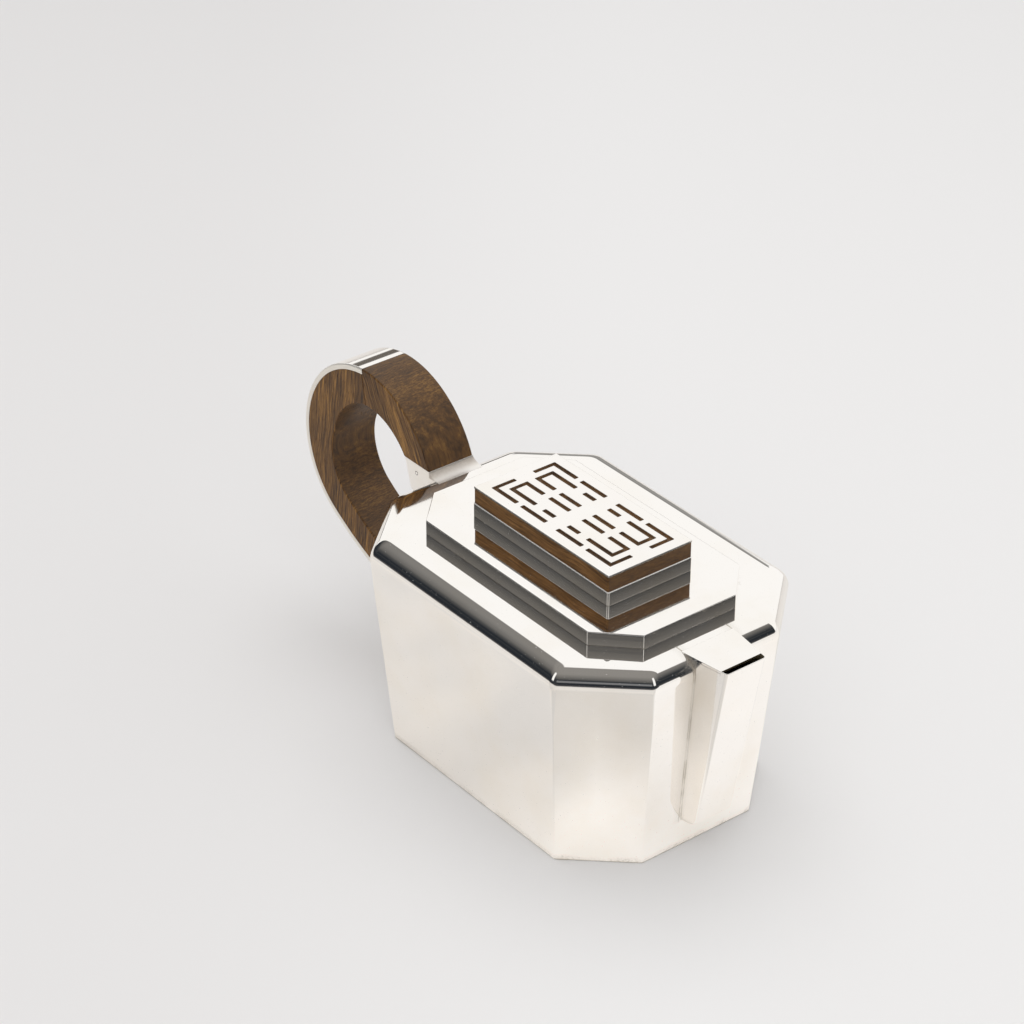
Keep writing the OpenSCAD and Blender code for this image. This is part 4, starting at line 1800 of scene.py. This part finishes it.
@dataclass
class Studio:
    """Pale floor, soft lamps, the room that the silver mirrors, and the camera."""

    azimuth: float = 51.627
    elevation: float = 31.681
    roll: float = 0.185
    aim: tuple[float, float, float] = (-40.178, 0.0, 88.83)
    distance: float = 1303.5
    lens: float = 119.61
    sensor: float = 36.0
    floor_size: float = 4000.0
    floor_depth: float = 2.0
    # Painted dark floor that mirrors see beyond about half a metre.
    night: Colour = (0.05, 0.05, 0.055)
    black: Colour = (0.0, 0.0, 0.0)

    def camera(self) -> bpy.types.Object:
        """Places the camera: it stands off from its aim along the azimuth and the elevation.

        Returns:
            The camera.
        """
        az, el, ro = (math.radians(v) for v in (self.azimuth, self.elevation, self.roll))
        back = Vector((math.sin(az) * math.cos(el), -math.cos(az) * math.cos(el), math.sin(el)))
        right = Vector((math.cos(az), math.sin(az), 0.0))
        up = back.cross(right)
        across = math.cos(ro) * right + math.sin(ro) * up
        above = math.cos(ro) * up - math.sin(ro) * right
        data = bpy.data.cameras.new("camera")
        data.lens = self.lens
        data.sensor_width = self.sensor
        data.clip_start, data.clip_end = 0.05, 20.0
        camera = bpy.data.objects.new("camera", data)
        frame_of = Matrix((across, above, back)).transposed().to_4x4()
        frame_of.translation = (Vector(self.aim) + back * self.distance) * MM
        camera.matrix_world = frame_of
        bpy.context.scene.collection.objects.link(camera)
        bpy.context.scene.camera = camera
        return camera

    def floor(self) -> bpy.types.Object:
        """Lays the pale floor. In the silver it is painted: it turns dark half a metre before the teapot, as
        if a table ended there, and it carries painted light that only mirrors see.

        Returns:
            The floor.
        """
        size = self.floor_size
        outline = size * np.array([(-1, -1), (1, -1), (1, 1), (-1, 1)])
        piece = prism(outline, -self.floor_depth, 0.0, Way.UP).build("floor", shaded=False)
        g = Surface("pale floor")
        spot = g.spot()
        x, y = g.axes(spot, "XY")
        toward = g.along(spot, (0.78, -0.62, 0.0))
        left = g.along(spot, (-0.62, -0.78, 0.0))
        # Painted reflection: for mirrors the floor turns dark far off.
        far = g.step(toward, 0.45, 0.8).at_least(g.step(left, 0.55, 0.95))
        gloss = g.mirrored()
        # Painted light: the floor glows where a mirror looks, though it is no lamp.
        g.shade(
            Base_Color=g.blend(gloss * far, self.floor_colour(g, gloss, toward, left, y), self.night),
            Emission_Color=g.blend(gloss * (1.0 - far), self.black, self.floor_glow(g, spot, x, y)),
            Emission_Strength=1.0, Roughness=0.8, Specular_IOR_Level=0.2,
        )
        piece.data.materials.append(g.material)
        return piece

    def floor_colour(self, g: Surface, gloss: Wire, toward: Wire, left: Wire, y: Wire) -> Wire:
        """The floor's colour with painted shade: greyer to the left, and in the silver dimmer before the
        front chamfer.

        Args:
            g: The floor's graph.
            gloss: Where a mirror looks.
            toward: Distance towards the camera.
            left: Distance to the camera's left.
            y: Place across the pot.

        Returns:
            The colour.
        """
        # Painted shade: the floor greys towards the camera's left.
        plain = g.blend(g.step(left, -0.05, 0.2), (0.86, 0.848, 0.838), (0.8, 0.785, 0.775))
        # Painted shade that only mirrors see: dimmer before the front chamfer.
        dim = g.step(toward, 0.08, 0.12) * (1.0 - g.step(y, -0.075, -0.05))
        dim = dim * (1.0 - g.step(toward, 0.17, 0.25) * 0.6)
        return g.blend(gloss, plain, g.blend(dim, (0.8, 0.782, 0.76), (0.68, 0.665, 0.645)))

    def floor_glow(self, g: Surface, spot: Wire, x: Wire, y: Wire) -> Wire:
        """Painted light that only the silver sees on the floor: glowing clouds, a glow round the foot that
        lifts its shadow, and a grey glow before the front.

        The distance to the foot is the larger of |x| - 72 mm and |y| - 51 mm.

        Args:
            g: The floor's graph.
            spot: Place on the floor.
            x: Place along the pot.
            y: Place across it.

        Returns:
            The colour of the glow.
        """
        # Painted light: faint glowing clouds, a bright band within 48 mm of the foot, and a grey glow before
        # the front.
        cloud = g.step(g.noise(spot, 13.0, 2.0, 0.5), 0.35, 0.65)
        away = (abs(x) - 0.072).at_least(abs(y) - 0.051)
        close = (1.0 - g.step(away, 0.0, 0.048)) * (g.step(x, -0.02, 0.07) * 0.75 + 0.25)
        glow = g.blend(cloud, self.black, (0.085, 0.07, 0.05))
        glow = g.blend(close, glow, (0.33, 0.32, 0.305))
        return g.blend(g.step(x, 0.07, 0.11) * g.step(y, -0.055, -0.03) * 0.7, glow, (0.27, 0.27, 0.27))

    def room(self) -> None:
        """Lights the object with a plain pale room, and paints another one that only a mirror sees."""
        world = bpy.data.worlds.new("room")
        bpy.context.scene.world = world
        g = Graph(world)
        ray = g.node("TexCoord", out="Generated")
        x, y, rise = g.axes(ray)
        flat = g.node("VectorMath", {"operation": "NORMALIZE"}, _0=g.node("CombineXYZ", X=x, Y=y))
        streak = g.noise(g.node("CombineXYZ", X=rise * 11.0, Y=x, Z=y), 1.0, 3.0, 0.6)
        dark = self.dark_side(g, flat, rise, streak)
        painted = g.blend(self.screen(g, x, y, rise), dark, (1.0, 0.995, 0.985))
        painted = self.neighbour(g, flat, rise, streak, painted)
        colour = g.blend(g.mirrored(), (0.74, 0.74, 0.745), painted)
        colour = g.blend(g.node("LightPath", out="Is Camera Ray"), colour, (0.94, 0.94, 0.94))
        back = g.node("Background", Color=colour, Strength=1.0)
        out = g.tree.nodes.new("ShaderNodeOutputWorld")
        g.tree.links.new(back.socket, out.inputs[0])

    def screen(self, g: Graph, x: Wire, y: Wire, rise: Wire) -> Wire:
        """The white wall behind the pot, with two straight borders.

        A ray is followed to a ceiling one unit up, where it arrives at (x / rise, y / rise).

        Args:
            g: The world's graph.
            x: The ray's part along X.
            y: Its part along Y.
            rise: Its part upwards.

        Returns:
            1 on the wall and 0 beside it.
        """
        level = rise.at_least(0.05)
        u, w = x / level, y / level
        border = (u * -0.406 - 0.038).at_most(0.36)
        return g.step(w - border, -0.03, 0.05) * g.step(w - u * 1.18 - 0.0726, -0.03, 0.05)

    def dark_side(self, g: Graph, flat: Wire, rise: Wire, streak: Wire) -> Wire:
        """The dark side before the pot: grey above, streaks, one dim panel and two white strips.

        Args:
            g: The world's graph.
            flat: The ray's direction seen from above.
            rise: Its part upwards.
            streak: Noise drawn out sideways.

        Returns:
            The colour.
        """
        grey = g.blend(g.step(rise, 0.3, 0.9), (0.02, 0.024, 0.03), (0.27, 0.26, 0.245))
        grey = g.blend(g.step(streak, 0.45, 0.75) * 0.35, grey, (0.2, 0.19, 0.175))
        ahead = g.along(flat, (0.707, -0.707, 0.0))
        panel = g.step(ahead, 0.93, 0.97) * g.step(rise, 0.16, 0.22) * (1.0 - g.step(rise, 0.3, 0.38))
        grey = g.blend(panel, grey, (0.2, 0.205, 0.215))
        near, beside = (g.along(flat, aim) for aim in ((-0.12, -0.993, 0.0), (0.994, -0.11, 0.0)))
        strips = g.step(near, 0.985, 0.992) + g.step(beside, 0.985, 0.992)
        band = g.step(rise, 0.12, 0.25) * (1.0 - g.step(rise, 0.72, 0.8))
        return g.blend(strips * band, grey, (1.0, 1.0, 0.99))

    def neighbour(self, g: Graph, flat: Wire, rise: Wire, streak: Wire, painted: Wire) -> Wire:
        """Adds what stands behind the handle: something grey, and wood beside it.

        Args:
            g: The world's graph.
            flat: The ray's direction seen from above.
            rise: Its part upwards.
            streak: Noise drawn out sideways.
            painted: The room's colour without it.

        Returns:
            The colour.
        """
        corner = g.along(flat, (-0.76, 0.65, 0.0))
        wood = g.step(g.axes(flat, "X")[0] * -1.0, 0.79, 0.81)
        thin = wood * g.step(rise, 0.07, 0.1) * (1.0 - g.step(rise, 0.24, 0.27))
        tall = (1.0 - wood) * (1.0 - g.step(rise, 0.41, 0.45))
        silver = g.blend(streak, (0.05, 0.05, 0.05), (0.4, 0.39, 0.37))
        share = g.step(corner, 0.979, 0.986) * (thin + tall) * 0.92
        return g.blend(share, painted, g.blend(wood, silver, (0.075, 0.06, 0.045)))

    def lamp(self, name: str, place: tuple[float, float, float], size: float, power: float) -> None:
        """Hangs a square soft lamp that points at the teapot and that nothing mirrors.

        Args:
            name: Its name.
            place: Where it hangs, in metres.
            size: Its edge, in metres.
            power: Its power in watts.
        """
        data = bpy.data.lights.new(name, "AREA")
        data.size = size
        data.energy = power
        lamp = bpy.data.objects.new(name, data)
        lamp.location = place
        lamp.rotation_euler = (Vector((0, 0, 0.05)) - Vector(place)).to_track_quat("-Z", "Y").to_euler()
        lamp.visible_glossy = False
        lamp.visible_camera = False
        bpy.context.scene.collection.objects.link(lamp)

    def build(self) -> None:
        """Sets up the whole studio."""
        self.camera()
        self.floor()
        self.room()
        self.lamp("key", (-0.5, 0.3, 1.7), 1.5, 7.0)
        self.lamp("fill", (0.9, -0.7, 1.4), 1.6, 5.0)
        bpy.context.scene.view_settings.view_transform = "Standard"


def main() -> None:
    """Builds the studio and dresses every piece."""
    logging.basicConfig(level=logging.INFO, format="%(message)s")
    Studio().build()
    done: set[str] = set()
    for assembly in (Body(), Lid(), Handle(), Spout(), DeckSocket()):
        done |= assembly.dress()
    Fittings().dress(done)


if __name__ == "__main__":
    main()
